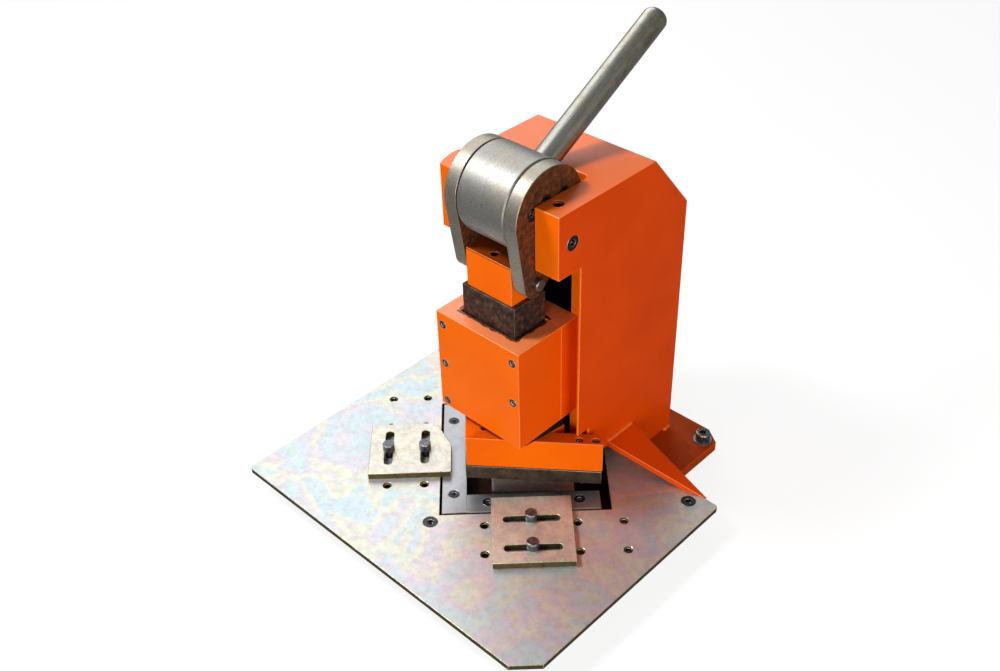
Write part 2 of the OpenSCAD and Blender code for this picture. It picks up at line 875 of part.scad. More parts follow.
// Round bar along the lever's line, from one distance to another from the drum's centre
module on_lever_line(from) {
    translate([lever_x, drum_at[0], drum_at[1]]) rotate([-lever_lean, 0, 0])
        translate([0, 0, from]) children();
}

lever_root = 12;
lever_tip_r = 9;

module lever_profile(length) {
    square([lever_r, length - lever_tip_r]);
    square([lever_r - lever_tip_r, length]);
    translate([lever_r - lever_tip_r, length - lever_tip_r]) intersection() {
        circle(lever_tip_r);
        square(lever_tip_r);
    }
}

module lever() color(bright_steel) on_lever_line(lever_root)
    rotate_extrude() lever_profile(lever_reach - lever_root);

// Place of a journal screw's seat, on the right side
module at_journal_screws() {
    for (spot = journal_screw_spots)
        translate([link_outer - journal_screw_sink, drum_at[0] + spot[0], drum_at[1] + spot[1]])
            rotate([0, 90, 0]) children();
}

journal_screw_sink = 8;

module journal_screw_hole() {
    cylinder(h = journal_screw_sink + over, r = journal_screw_head + free);
    translate([0, 0, -journal_screw_l - over])
        cylinder(h = journal_screw_l + 2 * over, r = journal_screw_r + fit);
}

drum_edge = 1.5;

module drum() color(bright_steel) difference() {
    translate([-drum_half_l, drum_at[0], drum_at[1]]) rotate([0, 90, 0]) {
        cylinder(h = drum_edge, r1 = drum_r - drum_edge, r2 = drum_r);
        translate([0, 0, drum_edge]) cylinder(h = 2 * (drum_half_l - drum_edge), r = drum_r);
        translate([0, 0, 2 * drum_half_l - drum_edge])
            cylinder(h = drum_edge, r1 = drum_r, r2 = drum_r - drum_edge);
    }
    bar_x(-drum_half_l - over, drum_half_l + over, shaft_at, shaft_r + fit);
    on_lever_line(lever_root - free) cylinder(h = drum_r, r = lever_r + fit);
    both_sides() at_journal_screws() journal_screw_hole();
}

module journal() {
    difference() {
        bar_x(drum_half_l, link_outer, drum_at, journal_r);
        bar_x(drum_half_l - over, link_outer + over, shaft_at, shaft_r + fit);
        at_journal_screws() journal_screw_hole();
    }
}

module journal_right() color(dark_steel) journal();

module journal_left() color(dark_steel) mirror([1, 0, 0]) journal();

module journal_screws() color(black_oxide) both_sides() at_journal_screws()
    cap_screw(journal_screw_r, journal_screw_head, journal_screw_cap, journal_screw_l);

// ---- Links -------------------------------------------------------------------------

// Two circles and their outer tangents
module teardrop(from, r1, to, r2) {
    run = to - from;
    heading = atan2(run[1], run[0]);
    swing = acos((r1 - r2) / norm(run));
    function edge(centre, r, turn) =
        centre + r * [cos(heading + turn), sin(heading + turn)];
    translate(from) circle(r1);
    translate(to) circle(r2);
    polygon([edge(from, r1, swing), edge(from, r1, -swing),
        edge(to, r2, -swing), edge(to, r2, swing)]);
}

module link() {
    difference() {
        along_x(link_inner, link_outer) teardrop(drum_at, link_head_r, pin_at, link_foot_r);
        bar_x(link_inner - over, link_outer + over, drum_at, journal_r + fit);
        bar_x(link_inner - over, link_outer + over, pin_at, pin_r + fit);
    }
}

module link_right() color(bright_steel) link();

module link_left() color(bright_steel) mirror([1, 0, 0]) link();

pin_proud = 6.5;
pin_bevel = 0.8;

module link_pin() color(bright_steel) {
    half = link_outer + pin_proud;
    bar_x(-half + pin_bevel, half - pin_bevel, pin_at, pin_r);
    both_sides() translate([half - pin_bevel, pin_at[0], pin_at[1]]) rotate([0, 90, 0])
        cylinder(h = pin_bevel, r1 = pin_r, r2 = pin_r - pin_bevel);
}

// ---- Stops -------------------------------------------------------------------------

// All in the blade frame, along the window's edge from the stop bolts' column
stop_at = tap_first + tap_pitch;
stop_z = table_top + slip;

// Edges of a stop: before and behind its bolts, out past the far bolt, in past the window's
// edge, and the ends of its slots from the bolts
front_stop_before = 41;
front_stop_behind = 43;
front_stop_out = 20;
front_stop_in = 15;
front_stop_slots = [-24.4, 25.6];
left_stop_before = 38;
left_stop_behind = 42;
left_stop_out = 21;
left_stop_in = 12;
left_stop_cut = [38, 17];   // corner cut, along and across
left_stop_slots = [-19.4, 25.6];

module stop_slots(ends) {
    for (row = [tap_row_near, tap_row_far])
        slot([stop_at + ends[0], -row], [stop_at + ends[1], -row], stop_slot_w);
}

module stop_bolt() {
    translate([0, 0, stop_z + stop_t + slip]) {
        cap_screw(stop_bolt_r, stop_head_r, stop_head_h, stop_t, socket = false);
        translate([0, 0, -stop_t - 2 * slip - table_t])
            cylinder(h = table_t + 2 * slip + over, r = tap_r - fit);
    }
}

module stop_bolt_pair() {
    rotate(45) for (row = [tap_row_near, tap_row_far])
        translate([stop_at, -row, 0]) stop_bolt();
}

module stop_front() color("#a79f92") translate([0, 0, stop_z]) rotate(45)
    linear_extrude(stop_t) difference() {
        translate([stop_at - front_stop_before, -tap_row_far - front_stop_out])
            square([front_stop_before + front_stop_behind,
                front_stop_out + tap_row_far + front_stop_in]);
        stop_slots(front_stop_slots);
    }

module stop_left() color("#d9d2b4") translate([0, 0, stop_z]) mirror([1, 0, 0]) rotate(45)
    linear_extrude(stop_t) difference() {
        before = stop_at - left_stop_before;
        behind = stop_at + left_stop_behind;
        out = -tap_row_far - left_stop_out;
        polygon([[before, out], [behind, out], [behind, left_stop_in - left_stop_cut[1]],
            [behind - left_stop_cut[0], left_stop_in], [before, left_stop_in]]);
        stop_slots(left_stop_slots);
    }

module stop_front_bolts() color(black_oxide) stop_bolt_pair();

module stop_left_bolts() color(black_oxide) mirror([1, 0, 0]) stop_bolt_pair();

base_plate();
bench_bolts();
bench_washers();
table_plate();
table_screws();
table_spacer();
table_arm_left();
table_arm_right();
gusset_left();
gusset_right();
column_side_left();
column_side_right();
column_back();
column_slope();
column_top();
head_web();
cheek_left();
cheek_right();
housing_mount();
housing_front();
housing_rear();
housing_screws();
gib_left();
gib_right();
die_bed();
bed_screws();
lower_blade_left();
lower_blade_front();
lower_blade_screws();
scrap_chute();
main_shaft();
shaft_screws();
ram();
ram_head_block();
ram_foot();
blade_holder();
holder_screws();
upper_blade_left();
upper_blade_right();
drum();
journal_left();
journal_right();
journal_screws();
lever();
link_left();
link_right();
link_pin();
stop_left();
stop_front();
stop_left_bolts();
stop_front_bolts();
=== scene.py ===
"""Corner notcher: finishes, rounded edges, welds, patches of painted shade and a studio round the fixed
frame.

Lengths are metres in the frame's own axes: +X to the operator's right, +Y from the
operator to the column, +Z up, with the origin on the bench straight below the corner of
the table's window.
"""

from __future__ import annotations

import json
import logging
import math
from dataclasses import dataclass, field
from enum import Enum

import bmesh
import bpy
import numpy as np
from mathutils import Matrix, Vector

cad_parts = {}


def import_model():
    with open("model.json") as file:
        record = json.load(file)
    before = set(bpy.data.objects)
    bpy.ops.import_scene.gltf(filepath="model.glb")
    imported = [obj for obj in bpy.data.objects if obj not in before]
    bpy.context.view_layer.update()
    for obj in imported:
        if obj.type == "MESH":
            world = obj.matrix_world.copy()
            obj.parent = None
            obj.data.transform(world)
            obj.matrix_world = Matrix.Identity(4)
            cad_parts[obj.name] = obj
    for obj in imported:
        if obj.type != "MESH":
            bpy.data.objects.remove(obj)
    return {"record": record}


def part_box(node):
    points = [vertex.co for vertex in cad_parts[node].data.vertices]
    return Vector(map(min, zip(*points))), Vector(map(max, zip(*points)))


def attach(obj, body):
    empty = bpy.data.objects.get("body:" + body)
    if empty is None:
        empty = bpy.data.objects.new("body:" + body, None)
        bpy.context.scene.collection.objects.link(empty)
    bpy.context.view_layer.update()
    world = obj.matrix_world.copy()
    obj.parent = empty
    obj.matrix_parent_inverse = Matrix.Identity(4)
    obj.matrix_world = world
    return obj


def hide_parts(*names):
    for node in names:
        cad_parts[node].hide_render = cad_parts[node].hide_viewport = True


LOG = logging.getLogger("corner_notcher")
MM = 0.001
SHARP_ANGLE = math.radians(32)
Stops = list[tuple[float, str]]
Span = tuple[float, float]
Point = tuple[float, float, float]
Colour = tuple[float, float, float, float]
Tree = bpy.types.NodeTree
Node = bpy.types.Node
Socket = bpy.types.NodeSocket


# ---- Colours and nodes ---------------------------------------------------------------


def linear(hex_colour: str) -> Colour:
    """Turns a colour as it is seen into the light values that a shader takes.

    Args:
        hex_colour: sRGB, written "#rrggbb".

    Returns:
        Linear red, green and blue, and an alpha of 1.
    """
    shown = [int(hex_colour[i : i + 2], 16) / 255.0 for i in (1, 3, 5)]
    light = [c / 12.92 if c <= 0.04045 else ((c + 0.055) / 1.055) ** 2.4 for c in shown]
    return (*light, 1.0)


def grain(size_mm: float) -> float:
    """Scale of a pattern in Object coordinates whose grains are that many millimetres."""
    return 1000.0 / size_mm


def add_node(
    tree: Tree,
    kind: str,
    inputs: dict[str | int, object] | None = None,
    stops: Stops | None = None,
    **settings: object,
) -> Node:
    """Adds a node with its settings, its input values or links, and its colour stops.

    Args:
        tree: The material's or world's node tree.
        kind: The node's type name.
        inputs: Input name or index, with a value or the socket that feeds it.
        stops: For a colour ramp, each stop's place and sRGB colour.
        **settings: The node's own properties.

    Returns:
        The new node.
    """
    node = tree.nodes.new(kind)
    for name, value in settings.items():
        setattr(node, name, value)
    for name, value in (inputs or {}).items():
        if isinstance(value, Socket):
            tree.links.new(value, node.inputs[name])
        else:
            node.inputs[name].default_value = value
    if stops:
        ramp = node.color_ramp
        while len(ramp.elements) < len(stops):
            ramp.elements.new(1.0)
        for element, (place, colour) in zip(ramp.elements, stops):
            element.position = place
            element.color = linear(colour)
    return node


# Socket places of the Mix node when it mixes colours
MIX_A, MIX_B, MIX_OUT = 6, 7, 2


def stained(
    tree: Tree, pattern: Socket, span: Span, shares: Span, under: Socket | Colour, over: str
) -> Socket:
    """Lays a colour over another where a pattern says.

    Args:
        tree: The material's node tree.
        pattern: The pattern.
        span: The pattern's values between which the cover changes.
        shares: How far the upper colour covers at that span's ends.
        under: The colour below.
        over: The upper colour, as "#rrggbb".

    Returns:
        The colour that is seen.
    """
    cover = add_node(
        tree,
        "ShaderNodeMapRange",
        {
            "Value": pattern,
            "From Min": span[0],
            "From Max": span[1],
            "To Min": shares[0],
            "To Max": shares[1],
        },
    )
    mixed = add_node(
        tree,
        "ShaderNodeMix",
        {0: cover.outputs["Result"], MIX_A: under, MIX_B: linear(over)},
        data_type="RGBA",
    )
    return mixed.outputs[MIX_OUT]


def past_box(tree: Tree, place: Socket, centre: Point, half: Point) -> Socket:
    """Measures how far a point lies past a box: the largest of its distances past the sides.

    Args:
        tree: The material's node tree.
        place: The point.
        centre: The box's centre.
        half: The box's half sizes.

    Returns:
        The distance, which is below 0 inside the box.
    """
    away = add_node(tree, "ShaderNodeVectorMath", {0: place, 1: centre}, operation="SUBTRACT")
    size = add_node(tree, "ShaderNodeVectorMath", {0: away.outputs["Vector"]}, operation="ABSOLUTE")
    past = add_node(
        tree, "ShaderNodeVectorMath", {0: size.outputs["Vector"], 1: half}, operation="SUBTRACT"
    )
    axes = add_node(tree, "ShaderNodeSeparateXYZ", {"Vector": past.outputs["Vector"]})
    reach = axes.outputs["X"]
    for axis in "YZ":
        reach = add_node(
            tree, "ShaderNodeMath", {0: reach, 1: axes.outputs[axis]}, operation="MAXIMUM"
        ).outputs["Value"]
    return reach


# ---- Finishes ------------------------------------------------------------------------


@dataclass(frozen=True)
class Finish:
    """A surface finish, which lays its own nodes once and is shared by name."""

    name: str

    def material(self) -> bpy.types.Material:
        """Makes the finish's material, or finds it if it is made.

        Returns:
            The material.
        """
        found = bpy.data.materials.get(self.name)
        if found:
            return found
        made = bpy.data.materials.new(self.name)
        made.use_nodes = True
        tree = made.node_tree
        place = add_node(tree, "ShaderNodeTexCoord").outputs["Object"]
        self.lay(tree, place, tree.nodes["Principled BSDF"])
        return made

    def lay(self, tree: Tree, place: Socket, shader: Node) -> None:
        """Lays the finish's nodes.

        Args:
            tree: The material's node tree.
            place: Object coordinates, in metres.
            shader: The material's shader.
        """
        raise NotImplementedError

    @staticmethod
    def wire(
        tree: Tree,
        shader: Node,
        colour: Socket,
        relief: Socket,
        strength: float,
        depth_mm: float,
        gloss: tuple[Socket, Span, Span] | None = None,
    ) -> None:
        """Feeds the shader its colour, its relief and, from a pattern, its roughness.

        Args:
            tree: The material's node tree.
            shader: The material's shader.
            colour: The colour.
            relief: The pattern that is the relief.
            strength: How far the relief turns the normal, up to 1.
            depth_mm: The relief's height.
            gloss: A pattern, the span of its values, and the roughness at that span's ends.
        """
        bump = add_node(
            tree, "ShaderNodeBump", {"Height": relief, "Strength": strength, "Distance": depth_mm * MM}
        )
        tree.links.new(colour, shader.inputs["Base Color"])
        tree.links.new(bump.outputs["Normal"], shader.inputs["Normal"])
        if gloss:
            pattern, span, ends = gloss
            rough = add_node(
                tree,
                "ShaderNodeMapRange",
                {
                    "Value": pattern,
                    "From Min": span[0],
                    "From Max": span[1],
                    "To Min": ends[0],
                    "To Max": ends[1],
                },
            )
            tree.links.new(rough.outputs["Result"], shader.inputs["Roughness"])


@dataclass(frozen=True)
class DarkPatch:
    """A box darkened towards near black, with a lobed edge: painted shade, on the head block with old
    grease too.

    Its centre, half sizes, lobes and fade are in millimetres.
    """

    centre: Point
    half: Point
    strength: float = 0.9
    lobe: float = 3.0
    fade: float = 1.5
    lobe_size: float = 9.0
    colour: str = "#150f0c"

    def lay(self, tree: Tree, place: Socket, under: Socket) -> Socket:
        """Lays the patch over a colour; noise moves its edge by up to a lobe.

        Args:
            tree: The material's node tree.
            place: Object coordinates, in metres.
            under: The colour below the patch.

        Returns:
            The colour with the patch on it.
        """
        centre, half = (tuple(v * MM for v in point) for point in (self.centre, self.half))
        lobes = add_node(
            tree, "ShaderNodeTexNoise", {"Vector": place, "Scale": grain(self.lobe_size), "Detail": 3.0}
        )
        wavy = add_node(
            tree,
            "ShaderNodeMath",
            {
                0: lobes.outputs["Fac"],
                1: -2.0 * self.lobe * MM,
                2: past_box(tree, place, centre, half),
            },
            operation="MULTIPLY_ADD",
        )
        edge = ((-self.lobe - self.fade) * MM, (-self.lobe + self.fade) * MM)
        return stained(tree, wavy.outputs["Value"], edge, (self.strength, 0.0), under, self.colour)


@dataclass(frozen=True)
class PowderCoat(Finish):
    """Baked polyester powder on steel: semi-gloss, with a fine orange peel.

    The peel breaks the lamps' reflection into fine pale specks on the level faces, and
    the colour drifts a little where the coat is thinner or hand-soiled.
    """

    colour: str = "#f66b02"
    thin: str = "#f26402"
    soiled: str = "#b4480f"
    roughness: float = 0.36
    peel_mm: float = 1.3
    peel: float = 0.35
    soil: float = 0.12
    gloss: float = 0.2
    ior: float = 1.5
    drift_mm: float = 70.0
    smear_mm: float = 26.0
    peel_depth_mm: float = 0.12
    # Dark patches laid over the coat: painted shade where a part lies in shadow
    dark_patches: tuple[DarkPatch, ...] = ()

    def lay(self, tree: Tree, place: Socket, shader: Node) -> None:
        """Lays the coat's drift, soil and peel, and its dark patches of painted shade.

        Args:
            tree: The material's node tree.
            place: Object coordinates, in metres.
            shader: The material's shader.
        """
        drift = add_node(
            tree, "ShaderNodeTexNoise", {"Vector": place, "Scale": grain(self.drift_mm), "Detail": 3.0}
        )
        coat = add_node(
            tree,
            "ShaderNodeValToRGB",
            {"Fac": drift.outputs["Fac"]},
            stops=[(0.3, self.thin), (0.62, self.colour)],
        )
        smear = add_node(
            tree,
            "ShaderNodeTexNoise",
            {
                "Vector": place,
                "Scale": grain(self.smear_mm),
                "Detail": 6.0,
                "Roughness": 0.65,
                "Distortion": 0.6,
            },
        )
        smears, cover = smear.outputs["Fac"], (0.0, self.soil)
        seen = stained(tree, smears, (0.56, 0.78), cover, coat.outputs["Color"], self.soiled)
        peel = add_node(
            tree,
            "ShaderNodeTexNoise",
            {"Vector": place, "Scale": grain(self.peel_mm), "Detail": 2.0, "Roughness": 0.6},
        )
        for patch in self.dark_patches:
            seen = patch.lay(tree, place, seen)
        grains = peel.outputs["Fac"]
        gloss = (grains, (0.35, 0.65), (self.roughness - 0.06, self.roughness + 0.06))
        self.wire(tree, shader, seen, grains, self.peel, self.peel_depth_mm, gloss)
        shader.inputs["IOR"].default_value = self.ior
        shader.inputs["Specular IOR Level"].default_value = self.gloss


@dataclass(frozen=True)
class PassivatedZinc(Finish):
    """Zinc plate with a yellow chromate passivation, over rolled steel.

    The film shows weak rainbow bands, pale blue, yellow and pink, that wander over a hand's
    width, with fine mottling from the steel below.
    """

    bands: tuple[str, ...] = ("#c6d3d4", "#bccfdb", "#d4d8c4", "#cfc8d2", "#bcd2d8", "#ced5c8")
    band_mm: float = 80.0
    band_span: Span = (0.32, 0.68)
    stain: str = "#a09d94"
    stained: float = 0.45
    roughness: float = 0.44
    blotch_mm: float = 9.0
    mottle_mm: float = 2.4
    relief: float = 0.25
    relief_mm: float = 0.1
    metal: float = 0.72

    def lay(self, tree: Tree, place: Socket, shader: Node) -> None:
        """Lays the bands, the mottling and the rolled grain.

        Args:
            tree: The material's node tree.
            place: Object coordinates, in metres.
            shader: The material's shader.
        """
        wander = add_node(
            tree,
            "ShaderNodeTexNoise",
            {
                "Vector": place,
                "Scale": grain(self.band_mm),
                "Detail": 5.0,
                "Roughness": 0.62,
                "Distortion": 1.1,
            },
        )
        places = np.linspace(*self.band_span, len(self.bands)).tolist()
        film = add_node(
            tree,
            "ShaderNodeValToRGB",
            {"Fac": wander.outputs["Fac"]},
            stops=list(zip(places, self.bands)),
        )
        blotch = add_node(
            tree,
            "ShaderNodeTexNoise",
            {"Vector": place, "Scale": grain(self.blotch_mm), "Detail": 7.0, "Roughness": 0.82},
        )
        blotches, cover = blotch.outputs["Fac"], (0.0, self.stained)
        seen = stained(tree, blotches, (0.44, 0.66), cover, film.outputs["Color"], self.stain)
        mottle = add_node(
            tree,
            "ShaderNodeTexNoise",
            {"Vector": place, "Scale": grain(self.mottle_mm), "Detail": 3.0, "Roughness": 0.7},
        )
        grains = mottle.outputs["Fac"]
        gloss = (grains, (0.3, 0.7), (self.roughness - 0.07, self.roughness + 0.1))
        self.wire(tree, shader, seen, grains, self.relief, self.relief_mm, gloss)
        shader.inputs["Metallic"].default_value = self.metal


@dataclass(frozen=True)
class BareSteel(Finish):
    """Bare steel, turned, ground, milled or drawn.

    Fine tool marks run one way, so reflections smear across them, and the surface carries
    specks of oxide, light scuffs and a thin film of old oil.
    """

    colour: str = "#a9a9a6"
    oxide: str = "#6f675c"
    oil: str = "#b3a37c"
    roughness: float = 0.38
    speck_mm: float = 1.6
    specks: float = 0.5
    oiled: float = 0.25
    marks_mm: Point = (0.9, 30.0, 30.0)
    turn: Point = (0.0, 0.0, 0.0)
    film_mm: float = 22.0
    marks: float = 0.25
    marks_depth_mm: float = 0.08
    metal: float = 1.0

    def lay(self, tree: Tree, place: Socket, shader: Node) -> None:
        """Lays the specks, the oil film and the tool marks.

        Args:
            tree: The material's node tree.
            place: Object coordinates, in metres.
            shader: The material's shader.
        """
        speckle = add_node(
            tree,
            "ShaderNodeTexNoise",
            {"Vector": place, "Scale": grain(self.speck_mm), "Detail": 4.0, "Roughness": 0.75},
        )
        film = add_node(
            tree,
            "ShaderNodeTexNoise",
            {
                "Vector": place,
                "Scale": grain(self.film_mm),
                "Detail": 5.0,
                "Roughness": 0.6,
                "Distortion": 0.8,
            },
        )
        steel, oiled = linear(self.colour), (0.0, self.oiled)
        seen = stained(tree, film.outputs["Fac"], (0.46, 0.66), oiled, steel, self.oil)
        specks = (0.0, self.specks)
        seen = stained(tree, speckle.outputs["Fac"], (0.46, 0.68), specks, seen, self.oxide)
        turned = add_node(
            tree,
            "ShaderNodeMapping",
            {
                "Vector": place,
                "Rotation": tuple(math.radians(a) for a in self.turn),
                "Scale": tuple(grain(s) for s in self.marks_mm),
            },
        )
        marks = add_node(
            tree,
            "ShaderNodeTexNoise",
            {"Vector": turned.outputs["Vector"], "Scale": 1.0, "Detail": 3.0, "Roughness": 0.6},
        )
        scratches = marks.outputs["Fac"]
        gloss = (scratches, (0.3, 0.7), (self.roughness - 0.06, self.roughness + 0.1))
        self.wire(tree, shader, seen, scratches, self.marks, self.marks_depth_mm, gloss)
        shader.inputs["Metallic"].default_value = self.metal


@dataclass(frozen=True)
class MillScale(Finish):
    """Hot-rolled or heat-blackened steel: a dark scale, rubbed brown where it is handled."""

    scale: str = "#3c302a"
    rubbed: str = "#7a5c48"
    dark: str = "#1d1714"
    roughness: float = 0.5
    patch_mm: float = 9.0
    pit_mm: float = 1.5
    pit_depth_mm: float = 0.15
    metal: float = 0.55
    relief: float = 0.5

    def lay(self, tree: Tree, place: Socket, shader: Node) -> None:
        """Lays dark scale, rubbed patches and their pitted relief.

        Args:
            tree: The material's node tree.
            place: Object coordinates, in metres.
            shader: The material's shader.
        """
        patch = add_node(
            tree,
            "ShaderNodeTexNoise",
            {"Vector": place, "Scale": grain(self.patch_mm), "Detail": 8.0, "Roughness": 0.72},
        )
        colour = add_node(
            tree,
            "ShaderNodeValToRGB",
            {"Fac": patch.outputs["Fac"]},
            stops=[(0.34, self.dark), (0.5, self.scale), (0.68, self.rubbed)],
        )
        pits = add_node(
            tree,
            "ShaderNodeTexNoise",
            {"Vector": place, "Scale": grain(self.pit_mm), "Detail": 4.0, "Roughness": 0.7},
        )
        gloss = (patch.outputs["Fac"], (0.35, 0.7), (self.roughness + 0.1, self.roughness - 0.08))
        seen, relief = colour.outputs["Color"], pits.outputs["Fac"]
        self.wire(tree, shader, seen, relief, self.relief, self.pit_depth_mm, gloss)
        shader.inputs["Metallic"].default_value = self.metal


@dataclass(frozen=True)
class BlackOxide(Finish):
    """Blackened alloy-steel screws: satin, blue-black, oily, a little paler where rubbed."""

    colour: str = "#26282c"
    rubbed: str = "#4c4f55"
    roughness: float = 0.36
    rub_mm: float = 3.5
    relief: float = 0.2
    relief_mm: float = 0.06
    metal: float = 0.8

    def lay(self, tree: Tree, place: Socket, shader: Node) -> None:
        """Lays the rubbed patches and a fine forged grain.

        Args:
            tree: The material's node tree.
            place: Object coordinates, in metres.
            shader: The material's shader.
        """
        rub = add_node(
            tree,
            "ShaderNodeTexNoise",
            {"Vector": place, "Scale": grain(self.rub_mm), "Detail": 5.0, "Roughness": 0.65},
        )
        colour = add_node(
            tree,
            "ShaderNodeValToRGB",
            {"Fac": rub.outputs["Fac"]},
            stops=[(0.42, self.colour), (0.7, self.rubbed)],
        )
        seen, rubs = colour.outputs["Color"], rub.outputs["Fac"]
        self.wire(tree, shader, seen, rubs, self.relief, self.relief_mm)
        shader.inputs["Roughness"].default_value = self.roughness
        shader.inputs["Metallic"].default_value = self.metal


# Powder coat: saturated orange with soft highlights, in copies that paint light and shade by
# the way a face looks: the side, rear and column copies are darker and redder as painted shade,
# the top copies glossier, the housing's also paler, as painted glare, the edge copy paler as wear
# and painted highlight, and the base copy dull and darker as dust and painted shade
PAINT = PowderCoat("orange_powder_coat", gloss=0.06)
# Darker, redder copies for the housing's faces that look across: painted shade; the rear half's copy is
# darker still
PAINT_SIDE_SHADED = PowderCoat("orange_powder_coat_side_painted_shade", colour="#f45a02", thin="#ee5602", gloss=0.08)
PAINT_REAR_SHADED = PowderCoat("orange_powder_coat_rear_painted_shade", colour="#ea5002", thin="#e24c02", gloss=0.08)
# The holder's copy is glossier; its darker patch on the top, right of the ram, is painted shade
PAINT_HOLDER = PowderCoat(
    "orange_powder_coat_holder",
    roughness=0.3,
    gloss=0.4,
    dark_patches=(DarkPatch((45, 85, 113), (42, 45, 2), strength=0.6, lobe=3.0, fade=5.0),),
)
# A darker, redder copy for the column's faces that look across, the gussets and the base plate's edges:
# painted shade
PAINT_COLUMN_SHADED = PowderCoat(
    "orange_powder_coat_column_painted_shade", colour="#ea4e02", thin="#e04802", soiled="#a33a0a", gloss=0.1
)
# A glossier copy for the faces that look up and for the weld beads: painted glare on the tops
PAINT_TOP_GLARE = PowderCoat(
    "orange_powder_coat_top_painted_glare", colour="#f26c0a", thin="#ec6406", roughness=0.42, gloss=0.75, peel=0.7
)
# A dull, darker copy for the base plate and table arms, darker as dust and as painted shade; its
# near-black patch under the window and the blades is painted shade
PAINT_BASE_DUST_AND_SHADE = PowderCoat(
    "orange_powder_coat_dust_and_shade",
    colour="#bf4c0c",
    thin="#ab460e",
    soiled="#6e3a1c",
    soil=0.6,
    roughness=0.5,
    gloss=0.1,
    dark_patches=(DarkPatch((0, 110, 12), (112, 92, 20), strength=0.97, fade=6.0),),
)
# A paler, glossier copy for the housing's top faces: painted glare
PAINT_HOUSING_TOP_GLARE = PowderCoat(
    "orange_powder_coat_housing_top_painted_glare",
    colour="#f5874c",
    thin="#f07c40",
    roughness=0.42,
    gloss=0.8,
    peel=0.7,
    # A near-black band with a lobed edge round the ram on the housing's top: painted shade for the gap
    # round the ram
    dark_patches=(DarkPatch((0, 104.9, 235), (40.5, 27.0, 4.0), strength=0.97, lobe=4.5, fade=0.6, lobe_size=8.0),),
)
# The dark band along the head block's top, under the drum: the drum's painted shadow, with old grease
PAINT_BLOCK = PowderCoat(
    "orange_powder_coat_head_block",
    gloss=0.08,
    dark_patches=(DarkPatch((0, 110, 312), (60, 60, 2.0), strength=0.78, lobe=0.5, fade=0.7),),
)
# A paler, glossier copy on the broken edges: worn paint and painted highlight
PAINT_EDGE_WEAR_AND_HIGHLIGHT = PowderCoat(
    "orange_powder_coat_edge_wear_and_highlight", colour="#f97e2e", thin="#f67828", soil=0.1, roughness=0.3, gloss=0.6
)
# Zinc-plated plates, and their sheared edges, where the passivation lies thick and olive
TABLE_ZINC = PassivatedZinc("passivated_zinc_table")
STOP_ZINC = PassivatedZinc(
    "passivated_zinc_stop", bands=("#d8d6c9", "#cfd0c8", "#dbd7c6", "#d3d1c9"), band_mm=60.0, stained=0.6
)
ZINC_EDGE = PassivatedZinc(
    "passivated_zinc_sheared_edge",
    bands=("#4d4430", "#5c5138", "#6a5d3e", "#494234", "#584d34"),
    band_mm=18.0,
    stain="#2c261d",
    roughness=0.45,
)
ZINC_RIM = PassivatedZinc(
    "passivated_zinc_rubbed_rim",
    bands=("#c9c08e", "#d9d2a8", "#bfc08c", "#ddd5b8"),
    band_mm=25.0,
    stain="#8d8058",
    stained=0.3,
    roughness=0.28,
)
WASHER = PassivatedZinc(
    "zinc_plated_washer",
    bands=("#8b9398", "#9aa1a5", "#7f888c"),
    band_mm=8.0,
    stain="#5a5f61",
    roughness=0.36,
)
# Bare steels, whose tool marks smear the lamps and whose oil and oxide warm and speckle them
DRUM_STEEL = BareSteel(
    "turned_drum_steel", colour="#a09f9c", oxide="#6b665e", roughness=0.48, specks=0.6, speck_mm=1.4
)
LEVER_STEEL = BareSteel(
    "drawn_lever_steel",
    colour="#b4b4ac",
    oxide="#6a645a",
    oil="#a08f6a",
    roughness=0.34,
    specks=0.4,
    oiled=0.7,
)
RIM_STEEL = BareSteel(
    "milled_link_rim",
    colour="#a5a198",
    oxide="#6a6050",
    oil="#a3957a",
    roughness=0.45,
    specks=0.6,
    oiled=0.45,
)
PIN_STEEL = BareSteel("turned_pin_steel", colour="#8b827b", oxide="#4d4038", roughness=0.35)
GROUND_STEEL = BareSteel(
    "ground_blade_steel",
    colour="#a2a6ab",
    oxide="#74757a",
    oil="#807b72",
    roughness=0.34,
    specks=0.3,
    marks_mm=(0.8, 40.0, 40.0),
    turn=(0.0, 0.0, 45.0),
    metal=0.75,
)
# The chute's steel is near white and mostly not metallic: painted light on a part that sits in shade
# below the blades
CHUTE_STEEL_LIT = BareSteel(
    "scratched_chute_steel_painted_light", colour="#efe6e2", oxide="#a3978f", roughness=0.5, specks=0.8, metal=0.15
)
WORN_STEEL = BareSteel("worn_steel_edge", colour="#b5b1ab", oxide="#7b7167", roughness=0.28, specks=0.3)
# Pale rims on the screws' broken edges: rubbed steel and painted highlight
RUBBED_RIM_HIGHLIGHT = BareSteel(
    "rubbed_screw_rim_and_highlight", colour="#c6c7ca", oxide="#6a6764", roughness=0.3, specks=0.5, speck_mm=0.8
)
BRONZE = BareSteel("gib_bronze", colour="#b08a4a", oxide="#6b5028", oil="#8a6c38", roughness=0.4)
# Scaled and blackened steels: dark and dull, with rubbed patches that show paler or brown
RAM_SCALE = MillScale("ram_mill_scale", patch_mm=6.0)
RAM_EDGE = MillScale("ram_rubbed_edge", scale="#665346", rubbed="#8d7867", dark="#3a2e27", metal=0.7)
LINK_SCALE = MillScale(
    "rusty_link_face", scale="#5d351a", rubbed="#8c5426", dark="#23190f", patch_mm=5.0, metal=0.35
)
BLADE_SCALE = MillScale(
    "hardened_blade_steel",
    scale="#54463c",
    rubbed="#6d5c4d",
    dark="#3a3029",
    patch_mm=14.0,
    metal=0.8,
    roughness=0.4,
)
HIDDEN_SCALE = MillScale("sawn_bar_scale")
